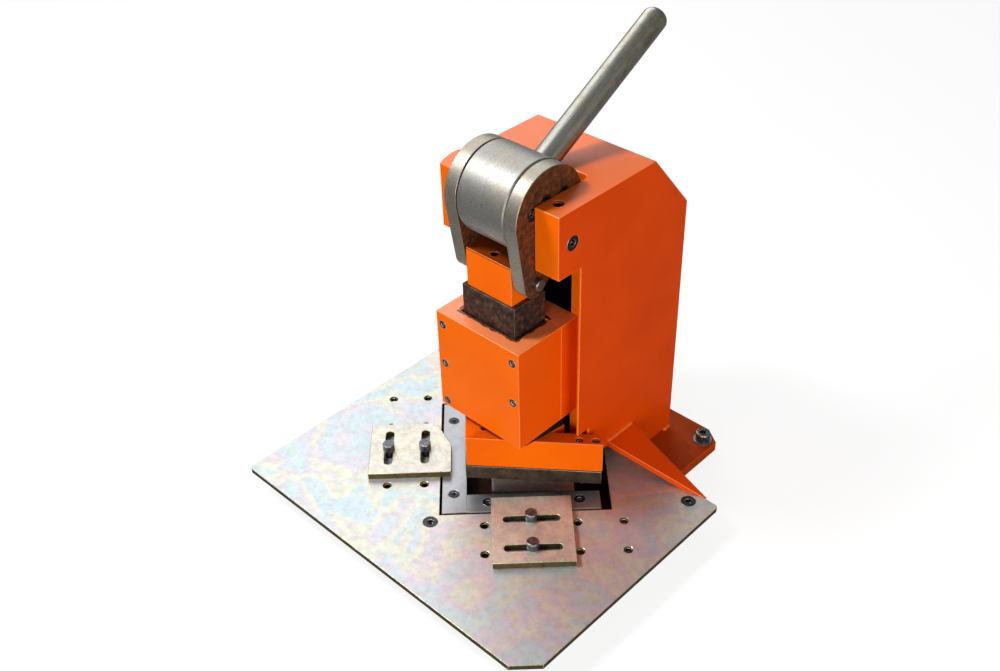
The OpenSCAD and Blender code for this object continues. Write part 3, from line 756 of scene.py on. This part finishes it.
# Near-black walls for holes and the column's inside: oil in the oil holes, painted shade in the tapped
# holes and the unlit inside of the column
SHADED_OILY_HOLLOW = MillScale("oily_hole_wall_and_painted_shade", scale="#15110e", rubbed="#2a221c", dark="#0a0908", metal=0.3)
SCREW_BLACK = BlackOxide("black_oxide_screw")
BOLT_BLACK = BlackOxide("rubbed_oxide_bench_bolt", colour="#3f4145", rubbed="#8a8c90", roughness=0.34)
STOP_SCREW_BLACK = BlackOxide(
    "rubbed_oxide_stop_screw", colour="#4d4f56", rubbed="#7c7e86", roughness=0.34
)


# ---- Meshes --------------------------------------------------------------------------


class Slot(Enum):
    """The material slots of a rounded piece."""

    BROAD = 0
    NARROW = 1
    EDGE = 2
    HOLLOW = 3
    FRONT = 4


@dataclass(frozen=True)
class Dress:
    """The finishes of a rounded piece, by the kind of surface that they cover."""

    broad: Finish
    narrow: Finish | None = None
    edge: Finish | None = None
    hollow: Finish = SHADED_OILY_HOLLOW
    front: Finish | None = None

    def materials(self) -> list[bpy.types.Material]:
        """Makes the piece's materials.

        Returns:
            The materials, in the order of Slot.
        """
        narrow = self.narrow or self.broad
        edge = self.edge or narrow
        front = self.front or narrow
        return [f.material() for f in (self.broad, narrow, edge, self.hollow, front)]


@dataclass(frozen=True)
class Bore:
    """A drilled hole, by a point on its axis and the axis's direction."""

    place: Point
    axis: Point = (0.0, 0.0, 1.0)
    radius: float = 6.0 * MM
    steepest: float = 0.8

    def walls(self, centres: np.ndarray, normals: np.ndarray) -> np.ndarray:
        """Finds the faces of the hole's wall.

        They lie within the radius of the axis, and less than the steepest share of their
        normal runs along it.

        Args:
            centres: Every face's centre, as rows.
            normals: Every face's normal, as rows.

        Returns:
            A truth value for each face.
        """
        axis = np.array(self.axis)
        away = centres - np.array(self.place)
        across = away - np.outer(away @ axis, axis)
        return (np.linalg.norm(across, axis=1) < self.radius) & (np.abs(normals @ axis) < self.steepest)


@dataclass(frozen=True)
class Cavity:
    """The inside of a hollow piece, by its lowest and highest corners."""

    low: Point
    high: Point

    def walls(self, centres: np.ndarray, normals: np.ndarray) -> np.ndarray:
        """Finds the faces whose centres lie in the cavity.

        Args:
            centres: Every face's centre, as rows.
            normals: Every face's normal, as rows, which don't matter here.

        Returns:
            A truth value for each face.
        """
        return np.all((centres > np.array(self.low)) & (centres < np.array(self.high)), axis=1)


@dataclass(frozen=True)
class Filler:
    """A rod along +Y that fills an unused hole, flush with the face at its start."""

    start: Point
    length: float
    radius: float

    def build(self) -> bpy.types.Object:
        """Makes the rod: a circle of points about the axis, at its start and at its end.

        Returns:
            The rod, closed at both ends.
        """
        points_round = 48
        turn = np.linspace(0.0, 2.0 * math.pi, points_round, endpoint=False)
        circle = self.radius * np.stack([np.cos(turn), np.zeros_like(turn), np.sin(turn)], axis=-1)
        end = (self.start[0], self.start[1] + self.length, self.start[2])
        centres = np.array([self.start, end])
        rod = surface("hole_filler", centres[:, None, :] + circle, PAINT)
        clean_up(rod.data)
        return rod


def joined_solid(nodes: list[str], fillers: list[Filler]) -> bpy.types.Mesh:
    """Welds the CAD nodes, and what fills their unused holes, into one closed surface.

    Each node's loose triangles are merged at their shared corners, the solids are united,
    and flat areas become single faces.

    Args:
        nodes: Names of CAD nodes that touch or overlap.
        fillers: The rods that fill unused holes.

    Returns:
        The closed surface.
    """
    parts = []
    for name in nodes:
        mesh = bpy.data.objects[name].data.copy()
        clean_up(mesh)
        part = bpy.data.objects.new(f"part_{name}", mesh)
        bpy.context.scene.collection.objects.link(part)
        parts.append(part)
    first, others = parts[0], [*parts[1:], *(filler.build() for filler in fillers)]
    for other in others:
        union = first.modifiers.new("union", "BOOLEAN")
        union.operation = "UNION"
        union.solver = "EXACT"
        union.object = other
    bpy.context.view_layer.update()
    seen = first.evaluated_get(bpy.context.evaluated_depsgraph_get())
    whole = bpy.data.meshes.new_from_object(seen)
    for part in (first, *others):
        bpy.data.objects.remove(part)
    clean_up(whole)
    return whole


def clean_up(mesh: bpy.types.Mesh) -> None:
    """Merges a mesh's doubled corners and dissolves the lines across its flat areas.

    Args:
        mesh: The mesh, changed in place.
    """
    merge_gap = 0.002 * MM
    flat_angle = math.radians(0.2)
    work = bmesh.new()
    work.from_mesh(mesh)
    bmesh.ops.remove_doubles(work, verts=work.verts, dist=merge_gap)
    bmesh.ops.dissolve_limit(
        work, angle_limit=flat_angle, verts=work.verts, edges=work.edges, use_dissolve_boundaries=False
    )
    bmesh.ops.recalc_face_normals(work, faces=work.faces)
    work.to_mesh(mesh)
    work.free()
    mesh.materials.clear()
    mesh.update()


def weigh_edges(mesh: bpy.types.Mesh, radius: float) -> None:
    """Says how far each sharp edge of a mesh can be broken.

    An edge's weight is 1, or less where the narrower of its two faces reaches less far
    from it: the edge then takes two fifths of that reach, as a share of the radius.

    Args:
        mesh: The mesh, whose edges get their weights.
        radius: The full width of a broken edge.
    """
    room = 0.4
    work = bmesh.new()
    work.from_mesh(mesh)
    weight = work.edges.layers.float.new("bevel_weight_edge")
    for edge in work.edges:
        if len(edge.link_faces) != 2 or edge.calc_face_angle(0.0) < SHARP_ANGLE:
            continue
        start, end = (corner.co for corner in edge.verts)
        along = (end - start).normalized()
        reach = min(
            max((corner.co - start).cross(along).length for corner in face.verts)
            for face in edge.link_faces
        )
        edge[weight] = min(1.0, room * reach / radius)
    work.to_mesh(mesh)
    work.free()


def face_rows(mesh: bpy.types.Mesh, what: str) -> np.ndarray:
    """Reads one vector of every face of a mesh.

    Args:
        mesh: The mesh.
        what: "normal" or "center".

    Returns:
        The vectors, as an array of rows.
    """
    rows = np.zeros(len(mesh.polygons) * 3)
    mesh.polygons.foreach_get(what, rows)
    return rows.reshape(-1, 3)


def new_object(name: str, mesh: bpy.types.Mesh) -> bpy.types.Object:
    """Puts a mesh in the scene as an object at the origin.

    Args:
        name: The object's name.
        mesh: Its mesh.

    Returns:
        The object.
    """
    made = bpy.data.objects.new(name, mesh)
    bpy.context.scene.collection.objects.link(made)
    return made


def surface(name: str, points: np.ndarray, finish: Finish) -> bpy.types.Object:
    """Makes a closed skin from a grid of points, one closed ring after another.

    Quads join each ring to the next, and the first and last rings are fans of triangles
    about their own centres.

    Args:
        name: The piece's name.
        points: An array of rings by points by 3, each ring turning the same way.
        finish: What covers it.

    Returns:
        The object.
    """
    rings, around = points.shape[:2]
    here = np.arange(rings * around).reshape(rings, around)
    ahead = np.roll(here, -1, axis=1)
    quads = np.stack([here[:-1], ahead[:-1], ahead[1:], here[1:]], axis=-1).reshape(-1, 4)
    tips = np.array([points[0].mean(0), points[-1].mean(0)])
    first, last = rings * around, rings * around + 1
    fan_a = np.stack([ahead[0], here[0], np.full_like(here[0], first)], axis=-1)
    fan_b = np.stack([here[-1], ahead[-1], np.full_like(here[-1], last)], axis=-1)
    corners = np.concatenate([points.reshape(-1, 3), tips])
    mesh = bpy.data.meshes.new(name)
    mesh.from_pydata(corners.tolist(), [], quads.tolist() + fan_a.tolist() + fan_b.tolist())
    mesh.validate()
    work = bmesh.new()
    work.from_mesh(mesh)
    bmesh.ops.recalc_face_normals(work, faces=work.faces)
    work.to_mesh(mesh)
    work.free()
    mesh.polygons.foreach_set("use_smooth", np.ones(len(mesh.polygons), bool))
    mesh.materials.append(finish.material())
    return new_object(name, mesh)


@dataclass
class Rounded:
    """A piece that stands for one or more CAD nodes, with its edges broken.

    The faces whose normal lies along `broad_axis` take the broad finish and the others the
    narrow one, but those that look at the operator, or away, take the front finish if the
    dress has one. The walls of its hollows take the hollow finish, and the bevel's own faces
    the edge finish.
    """

    name: str
    nodes: list[str]
    body: str
    slot: str
    dress: Dress
    radius_mm: float = 0.8
    segments: int = 3
    broad_axis: Point | None = None
    broad_share: float = 0.7
    hollows: list[Bore | Cavity] = field(default_factory=list)
    fillers: list[Filler] = field(default_factory=list)

    def build(self) -> bpy.types.Object:
        """Builds the piece, rides it on its body and hides the nodes that it stands for.

        Returns:
            The finished object.
        """
        mesh = joined_solid(self.nodes, self.fillers)
        for material in self.dress.materials():
            mesh.materials.append(material)
        normals, centres = face_rows(mesh, "normal"), face_rows(mesh, "center")
        # Where a dress gives copies of one paint, finishes by facing paint light and shade onto the
        # piece
        kind = np.full(len(mesh.polygons), Slot.BROAD.value)
        if self.broad_axis is not None:
            along = np.abs(normals @ np.array(self.broad_axis))
            kind[along <= self.broad_share] = Slot.NARROW.value
        if self.dress.front:
            kind[np.abs(normals[:, 1]) > self.broad_share] = Slot.FRONT.value
        for hollow in self.hollows:
            kind[hollow.walls(centres, normals)] = Slot.HOLLOW.value
        mesh.polygons.foreach_set("material_index", kind.astype(np.int32))
        mesh.polygons.foreach_set("use_smooth", np.ones(len(mesh.polygons), bool))
        mesh.set_sharp_from_angle(angle=SHARP_ANGLE)
        weigh_edges(mesh, self.radius_mm * MM)
        piece = new_object(self.name, mesh)
        edge = piece.modifiers.new("broken_edges", "BEVEL")
        edge.width = self.radius_mm * MM
        edge.segments = self.segments
        edge.limit_method = "WEIGHT"
        edge.use_clamp_overlap = False
        edge.material = Slot.EDGE.value if self.dress.edge else -1
        shading = piece.modifiers.new("flat_faces_lead_the_shading", "WEIGHTED_NORMAL")
        shading.mode = "FACE_AREA"
        shading.weight = 100
        shading.keep_sharp = True
        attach(piece, self.body)
        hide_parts(*self.nodes)
        LOG.info("%s stands for %s", self.name, ", ".join(self.nodes))
        return piece


def round_off(
    node: str, look: str, body: str, slot: str, dress: Dress, **shape: object
) -> None:
    """Rounds one CAD node, under a name that is the node's and its look's.

    Args:
        node: The node's name.
        look: The word that the name ends in.
        body: The body that the piece rides on.
        slot: The name of its material slot, which is not used.
        dress: Its finishes.
        **shape: What else Rounded takes.
    """
    Rounded(f"{node}_{look}", [node], body, slot, dress, **shape).build()


def blackened(nodes: list[str], body: str, finish: Finish = SCREW_BLACK) -> None:
    """Makes the screws of some CAD nodes, black with their turned edges pale, as rubbed steel and
    painted highlight.

    Args:
        nodes: The nodes' names.
        body: The body that they ride on.
        finish: The finish of their faces.
    """
    for node in nodes:
        dress = Dress(finish, edge=RUBBED_RIM_HIGHLIGHT)
        round_off(node, "blackened", body, "black_oxide", dress, radius_mm=0.35, segments=2)


def dress_nodes(finish: Finish, *nodes: str) -> None:
    """Gives CAD nodes that stay as they are their finish.

    Args:
        finish: The finish.
        *nodes: The nodes' names.
    """
    for name in nodes:
        mesh = bpy.data.objects[name].data
        mesh.materials.clear()
        mesh.materials.append(finish.material())
        LOG.info("%s keeps its own mesh, in %s", name, finish.name)


# ---- Sub-assemblies ------------------------------------------------------------------


UP = (0.0, 0.0, 1.0)
ACROSS = (1.0, 0.0, 0.0)


def weld_bead(
    name: str, start: Point, end: Point, radius: float, pitch: float, finish: Finish
) -> bpy.types.Object:
    """Makes a painted weld bead along a corner.

    It is a tube round the corner line. Its radius swells and shrinks once in each ripple,
    and tapers to nothing at both ends as a half circle does.

    Args:
        name: The piece's name.
        start: Where the bead starts, in metres.
        end: Where it ends.
        radius: Its mean radius.
        pitch: The length of one ripple.
        finish: What covers it.

    Returns:
        The object.
    """
    first, last = np.array(start), np.array(end)
    length = float(np.linalg.norm(last - first))
    along = (last - first) / length
    aslant = (0.31, 0.17, 0.93)
    side = np.cross(along, aslant)
    side /= np.linalg.norm(side)
    other = np.cross(along, side)
    fewest_rings, rings_a_ripple, around = 24, 6, 16
    rings = max(fewest_rings, int(length / pitch * rings_a_ripple))
    run = np.linspace(0.0, length, rings)
    swell, wander, wander_rate, blunt = 0.16, 0.07, 1.7, 0.02
    ripple = 1.0 + swell * np.abs(np.cos(math.pi * run / pitch))
    ripple += wander * np.sin(run / pitch * wander_rate)
    end_gap = np.minimum(run, length - run) / radius
    taper = np.sqrt(np.clip(1.0 - (1.0 - np.clip(end_gap, 0.0, 1.0)) ** 2, blunt, 1.0))
    size = (radius * ripple * taper)[:, None, None]
    turn = np.linspace(0.0, 2.0 * math.pi, around, endpoint=False)[None, :, None]
    circle = np.cos(turn) * side + np.sin(turn) * other
    points = first + run[:, None, None] * along + size * circle
    return surface(name, points, finish)


@dataclass
class Column:
    """The welded column with its head, base plate, table arms and gussets."""

    weld_r: float = 2.4 * MM
    weld_pitch: float = 3.4 * MM
    dab_r: float = 3.2 * MM
    root_gap: Span = (0.5 * MM, 1.0 * MM)
    foot_dab: Span = (14.0 * MM, 1.0 * MM)
    rear_dab: Span = (4.0 * MM, 18.0 * MM)
    oil_hole_out: float = 2.0 * MM
    oil_hole_r: float = 5.0 * MM

    def build(self) -> None:
        """Builds the weldment, its plates and its welds."""
        # Tops take the glossy copy as painted glare, sides the darker copy as painted shade, faces to
        # the front and back the plain coat
        paint = Dress(PAINT_TOP_GLARE, narrow=PAINT_COLUMN_SHADED, edge=PAINT_EDGE_WEAR_AND_HIGHLIGHT, front=PAINT)
        low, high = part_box("column_back")
        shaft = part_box("main_shaft")
        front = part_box("housing_mount")[0][1]
        head_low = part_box("head_web")[0][2]
        past, short = 0.5 * MM, 1.0 * MM
        # The column's inside takes the near-black hollow finish: painted shade
        hollow = Cavity(
            (low[0] - past, front + short, low[2] - short),
            (high[0] + past, high[1] - short, head_low - short),
        )
        cheek_low, cheek_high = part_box("cheek_right")
        oil_x = (cheek_low[0] + cheek_high[0]) / 2 + self.oil_hole_out
        shaft_y = (shaft[0][1] + shaft[1][1]) / 2
        oil_holes = [Bore((side * oil_x, shaft_y, 0.0), UP, self.oil_hole_r) for side in (-1, 1)]
        plates = ["column_side_right", "column_side_left", "column_back", "column_slope", "column_top"]
        plates += ["head_web", "cheek_right", "cheek_left", "housing_mount"]
        Rounded(
            "column_weldment",
            plates,
            "frame",
            "orange_paint",
            paint,
            radius_mm=0.9,
            broad_axis=UP,
            hollows=[hollow, *oil_holes],
        ).build()
        painted = ("coated", "frame", "orange_paint")
        round_off("base_plate", *painted, Dress(PAINT_BASE_DUST_AND_SHADE, edge=PAINT_COLUMN_SHADED))
        for side in ("left", "right"):
            round_off(f"table_arm_{side}", *painted, Dress(PAINT_BASE_DUST_AND_SHADE))
            edged = Dress(PAINT_COLUMN_SHADED, edge=PAINT_EDGE_WEAR_AND_HIGHLIGHT)
            round_off(f"gusset_{side}", *painted, edged, radius_mm=0.5)
        self.build_welds()

    def build_welds(self) -> None:
        """Builds the beads along the gussets' roots and the dabs at the column's foot."""
        low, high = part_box("gusset_right")
        column_x = low[0]
        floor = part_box("base_plate")[1][2]
        column_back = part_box("column_side_right")[1][1]
        root = (low[1] + self.root_gap[0], high[1] - self.root_gap[1])
        for side, sign in (("right", 1.0), ("left", -1.0)):
            x = sign * column_x
            beads = {
                f"gusset_weld_{side}": ((x, root[0], high[2]), (x, root[1], high[2]), self.weld_r),
                f"foot_dab_{side}": (
                    (x, column_back - self.foot_dab[0], floor),
                    (x, column_back - self.foot_dab[1], floor),
                    self.dab_r,
                ),
                f"rear_dab_{side}": (
                    (x - sign * self.rear_dab[0], column_back, floor),
                    (x - sign * self.rear_dab[1], column_back, floor),
                    self.dab_r,
                ),
            }
            for name, (start, end, radius) in beads.items():
                bead = weld_bead(name, start, end, radius, self.weld_pitch, PAINT_TOP_GLARE)
                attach(bead, "frame")
                LOG.info("%s rides on the frame", name)


@dataclass
class GuideHousing:
    """The two-part guide housing in front of the column, with its screws and gibs.

    Its lower right screw is missing, and the hole is filled and painted over.
    """

    head_r: float = 4.6 * MM
    overlap: float = 0.2 * MM

    def build(self) -> None:
        """Builds the housing's pieces."""
        low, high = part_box("housing_front")
        screws_low, screws_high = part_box("housing_screws")
        unused = (screws_high[0] - self.head_r, low[1], screws_low[2] + self.head_r)
        filler = Filler(unused, high[1] - low[1], self.head_r + self.overlap)
        # Tops take the paler copy as painted glare, sides the darker copies as painted shade
        for half, side in (("front", PAINT_SIDE_SHADED), ("rear", PAINT_REAR_SHADED)):
            round_off(
                f"housing_{half}",
                "coated",
                "frame",
                "orange_paint",
                Dress(PAINT_HOUSING_TOP_GLARE, narrow=side, edge=PAINT_EDGE_WEAR_AND_HIGHLIGHT, front=PAINT),
                radius_mm=0.7,
                broad_axis=UP,
                fillers=[filler] if half == "front" else [],
            )
        blackened(["housing_screws"], "frame")
        dress_nodes(BRONZE, "gib_left", "gib_right")


@dataclass
class Ram:
    """The ram with its head block, foot, blade holder and upper blades."""

    oil_hole_in: float = 9.5 * MM
    oil_hole_r: float = 5.5 * MM

    def build(self) -> None:
        """Builds what slides."""
        scale = Dress(RAM_SCALE, edge=RAM_EDGE)
        round_off("ram", "bar", "ram", "scaled_steel", scale, radius_mm=0.6)
        low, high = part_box("ram_head_block")
        oil_hole = Bore((0.0, low[1] + self.oil_hole_in, high[2]), UP, self.oil_hole_r)
        Rounded(
            "head_block_coated",
            ["ram_head_block"],
            "ram",
            "orange_paint",
            Dress(PAINT_BLOCK, edge=PAINT_EDGE_WEAR_AND_HIGHLIGHT),
            radius_mm=0.7,
            hollows=[oil_hole],
        ).build()
        round_off("ram_foot", "blackened", "ram", "black_oxide", Dress(SCREW_BLACK))
        paint = Dress(PAINT_HOLDER, edge=PAINT_EDGE_WEAR_AND_HIGHLIGHT, front=PAINT)
        round_off("blade_holder", "coated", "ram", "orange_paint", paint, radius_mm=0.7)
        for side in ("left", "right"):
            blade, steel = f"upper_blade_{side}", Dress(BLADE_SCALE, edge=WORN_STEEL)
            round_off(blade, "ground", "ram", "hardened_blade", steel, radius_mm=0.4, segments=2)
        blackened(["holder_screws"], "ram")


@dataclass
class Crank:
    """The eccentric drum on its shaft, its journals and the lever."""

    def build(self) -> None:
        """Builds what turns."""
        fine = {"radius_mm": 0.3, "segments": 2}
        round_off("drum", "turned", "crank", "turned_steel", Dress(DRUM_STEEL), **fine)
        for side in ("left", "right"):
            scale = Dress(LINK_SCALE)
            round_off(f"journal_{side}", "scaled", "crank", "scaled_steel", scale, **fine)
        blackened(["journal_screws"], "crank")
        dress_nodes(LEVER_STEEL, "lever")
        dress_nodes(PIN_STEEL, "main_shaft")


@dataclass
class Links:
    """The two links that hang from the drum and the pin at their feet."""

    def build(self) -> None:
        """Builds what swings."""
        for side in ("left", "right"):
            round_off(
                f"link_{side}",
                "milled",
                "links",
                "cut_link",
                Dress(LINK_SCALE, narrow=RIM_STEEL, edge=RIM_STEEL),
                radius_mm=0.5,
                segments=2,
                broad_axis=ACROSS,
            )
        pin = Dress(PIN_STEEL, edge=WORN_STEEL)
        round_off("link_pin", "turned", "links", "turned_steel", pin, radius_mm=0.3, segments=2)


@dataclass
class Table:
    """The table with its stops and their screws.

    Its mounts are the record's, whose tapped stop holes it carries.
    """

    mounts: list[dict[str, object]]

    def build(self) -> None:
        """Builds the table and the stops."""
        tapped = [Bore(tuple(m["pos_m"]), UP) for m in self.mounts if m["name"].startswith("stop_hole")]
        Rounded(
            "table_plated",
            ["table_plate"],
            "frame",
            "plated_plate",
            Dress(TABLE_ZINC, narrow=ZINC_EDGE, edge=ZINC_RIM),
            radius_mm=0.4,
            segments=2,
            broad_axis=UP,
            hollows=tapped,
        ).build()
        for side, body in (("left", "left_stop"), ("front", "front_stop")):
            round_off(
                f"stop_{side}",
                "plated",
                body,
                "stop_plated",
                Dress(STOP_ZINC, narrow=ZINC_EDGE, edge=ZINC_RIM),
                radius_mm=0.5,
                segments=2,
                broad_axis=UP,
            )
        blackened(["stop_left_bolts", "stop_front_bolts"], "frame", STOP_SCREW_BLACK)
        blackened(["table_screws"], "frame")
        blackened(["bench_bolts"], "frame", BOLT_BLACK)
        dress_nodes(WASHER, "bench_washers")
        dress_nodes(HIDDEN_SCALE, "table_spacer")


@dataclass
class Die:
    """The lower blades on their bed, and the chute for the cut corners."""

    def build(self) -> None:
        """Builds the die."""
        for side in ("left", "front"):
            blade, steel = f"lower_blade_{side}", Dress(GROUND_STEEL, edge=WORN_STEEL)
            round_off(blade, "ground", "frame", "ground_blade", steel, radius_mm=0.3, segments=2)
        chute = Dress(CHUTE_STEEL_LIT, edge=WORN_STEEL)
        round_off("scrap_chute", "worn", "frame", "worn_steel", chute, radius_mm=0.4)
        blackened(["lower_blade_screws", "shaft_screws"], "frame")
        dress_nodes(SCREW_BLACK, "bed_screws")
        dress_nodes(HIDDEN_SCALE, "die_bed")


# ---- Studio --------------------------------------------------------------------------


@dataclass(frozen=True)
class Viewpoint:
    """The photograph's camera, worked out from the machine's own corners."""

    place: Point = (0.6593, -0.5657, 0.9140)
    azimuth: float = 44.81
    elevation: float = 36.84
    roll: float = -1.81
    focal_px: float = 1171.9
    image_w_px: float = 1000.0
    sensor_mm: float = 36.0

    def build(self) -> None:
        """Makes the camera and gives it to the scene."""
        az, el, roll = (math.radians(a) for a in (self.azimuth, self.elevation, self.roll))
        ahead = Vector((-math.sin(az) * math.cos(el), math.cos(az) * math.cos(el), -math.sin(el)))
        level = ahead.cross(Vector((0, 0, 1))).normalized()
        upright = level.cross(ahead)
        right = level * math.cos(roll) + upright * math.sin(roll)
        up = upright * math.cos(roll) - level * math.sin(roll)
        lens = bpy.data.cameras.new("photo_camera")
        lens.sensor_width = self.sensor_mm
        lens.lens = self.focal_px / self.image_w_px * self.sensor_mm
        camera = bpy.data.objects.new("photo_camera", lens)
        bpy.context.scene.collection.objects.link(camera)
        turn = Matrix((right, up, -ahead)).transposed().to_4x4()
        camera.matrix_world = Matrix.Translation(self.place) @ turn
        bpy.context.scene.camera = camera


@dataclass(frozen=True)
class Softbox:
    """A square lamp that looks at a point of the machine."""

    name: str
    place: Point
    size: float
    watts: float
    colour: str = "#ffffff"
    aim: Point = (0.0, 0.1, 0.15)

    def build(self) -> None:
        """Makes the lamp."""
        data = bpy.data.lights.new(self.name, "AREA")
        data.size = self.size
        data.energy = self.watts
        data.color = linear(self.colour)[:3]
        lamp = bpy.data.objects.new(self.name, data)
        bpy.context.scene.collection.objects.link(lamp)
        lamp.location = self.place
        lamp.rotation_euler = (Vector(self.aim) - Vector(self.place)).to_track_quat("-Z", "Y").to_euler()


@dataclass
class Studio:
    """A pale floor, soft lamps and an even surround."""

    floor_half: float = 6.0
    floor_bounce: str = "#767676"
    floor_roughness: float = 0.9
    mirrored: float = 0.1
    shown: float = 0.8
    surround: float = 0.1
    glow: float = 1.06
    shade_inset: float = 25.0 * MM
    shade_fade: float = 8.0 * MM
    lamps: list[Softbox] = field(
        default_factory=lambda: [
            Softbox("key_front_right", (0.85, -1.7, 0.6), 1.0, 20.0),
            Softbox("overhead_front_left", (-0.85, -0.6, 1.75), 0.4, 27.0),
            Softbox("sky_back_left", (-1.42, 1.01, 1.62), 1.6, 17.5),
            Softbox("fill_right", (1.5, -0.3, 0.4), 0.9, 12.0, colour="#fff0e4"),
            Softbox("fill_front_left", (-1.6, -1.3, 1.0), 1.5, 3.0),
        ]
    )

    def build(self) -> None:
        """Builds the floor, the lamps, the surround and the view settings."""
        half = self.floor_half
        mesh = bpy.data.meshes.new("floor")
        mesh.from_pydata(
            [(-half, -half, 0), (half, -half, 0), (half, half, 0), (-half, half, 0)], [], [(0, 1, 2, 3)]
        )
        mesh.materials.append(self.floor_material())
        floor = new_object("floor", mesh)
        bpy.context.scene.world = self.surround_world()
        bpy.context.scene.view_settings.view_transform = "Standard"
        for lamp in self.lamps:
            lamp.build()

    def surround_world(self) -> bpy.types.World:
        """An even, dim surround that is white to the camera, and that mirrors show a share of.

        Returns:
            The world.
        """
        world = bpy.data.worlds.new("surround")
        world.use_nodes = True
        tree = world.node_tree
        background = tree.nodes["Background"]
        background.inputs["Color"].default_value = linear("#ffffff")
        path = add_node(tree, "ShaderNodeLightPath")
        lit = self.surround
        for ray, share in (
            ("Is Glossy Ray", self.mirrored),
            ("Is Transmission Ray", self.mirrored),
            ("Is Camera Ray", 1.0 - self.surround),
        ):
            terms = {0: path.outputs[ray], 1: share, 2: lit}
            lit = add_node(tree, "ShaderNodeMath", terms, operation="MULTIPLY_ADD").outputs["Value"]
        tree.links.new(lit, background.inputs["Strength"])
        return world

    def floor_material(self) -> bpy.types.Material:
        """A floor that is white to the camera, with the machine's shadow kept.

        To the camera it is part plain white and part lit white, which holds the shadow. What
        it throws back at the machine is greyer, and mirrors show a share of its white.

        Returns:
            The material.
        """
        made = bpy.data.materials.new("pale_floor")
        made.use_nodes = True
        tree = made.node_tree
        shader = tree.nodes["Principled BSDF"]
        shader.inputs["Roughness"].default_value = self.floor_roughness
        shader.inputs["Specular IOR Level"].default_value = 0.0
        glow = add_node(tree, "ShaderNodeEmission", {"Color": linear("#ffffff"), "Strength": self.glow})
        path = add_node(tree, "ShaderNodeLightPath")
        seen = add_node(
            tree,
            "ShaderNodeMath",
            {0: path.outputs["Is Camera Ray"], 1: self.open_floor(tree)},
            operation="MULTIPLY",
        ).outputs["Value"]
        ground = add_node(
            tree,
            "ShaderNodeMix",
            {0: seen, MIX_A: linear(self.floor_bounce), MIX_B: linear("#ffffff")},
            data_type="RGBA",
        )
        tree.links.new(ground.outputs[MIX_OUT], shader.inputs["Base Color"])
        mirrored = add_node(
            tree,
            "ShaderNodeMath",
            {0: path.outputs["Is Glossy Ray"], 1: self.mirrored},
            operation="MULTIPLY",
        )
        through = add_node(
            tree,
            "ShaderNodeMath",
            {0: path.outputs["Is Transmission Ray"], 1: self.mirrored, 2: mirrored.outputs["Value"]},
            operation="MULTIPLY_ADD",
        )
        share = add_node(
            tree,
            "ShaderNodeMath",
            {0: seen, 1: self.shown, 2: through.outputs["Value"]},
            operation="MULTIPLY_ADD",
        )
        mix = add_node(
            tree,
            "ShaderNodeMixShader",
            {"Fac": share.outputs["Value"], 1: shader.outputs["BSDF"], 2: glow.outputs["Emission"]},
        )
        output = tree.nodes["Material Output"]
        tree.links.new(mix.outputs["Shader"], output.inputs["Surface"])
        return made

    def open_floor(self, tree: Tree) -> Socket:
        """Lays a mask that is 0 on the floor well under the table and 1 elsewhere.

        The floor's white would otherwise shine up through the table's tapped holes.

        Args:
            tree: The floor's node tree.

        Returns:
            The mask.
        """
        low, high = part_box("table_plate")
        inset = self.shade_inset
        front, back = low[1] + inset, high[1] + inset
        centre = (0.0, (front + back) / 2, 0.0)
        half = (high[0] - inset, (back - front) / 2, 1.0)
        place = add_node(tree, "ShaderNodeTexCoord").outputs["Object"]
        reach = past_box(tree, place, centre, half)
        mask = add_node(
            tree, "ShaderNodeMapRange", {"Value": reach, "From Min": -self.shade_fade, "From Max": 0.0}
        )
        return mask.outputs["Result"]


def main() -> None:
    """Loads the frame, dresses every sub-assembly and sets up the studio."""
    logging.basicConfig(level=logging.INFO, format="%(name)s: %(message)s")
    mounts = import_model()["record"]["mounts"]
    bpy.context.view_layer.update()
    Studio().build()
    Viewpoint().build()
    for assembly in (Column(), GuideHousing(), Ram(), Crank(), Links(), Table(mounts), Die()):
        assembly.build()


if __name__ == "__main__":
    main()
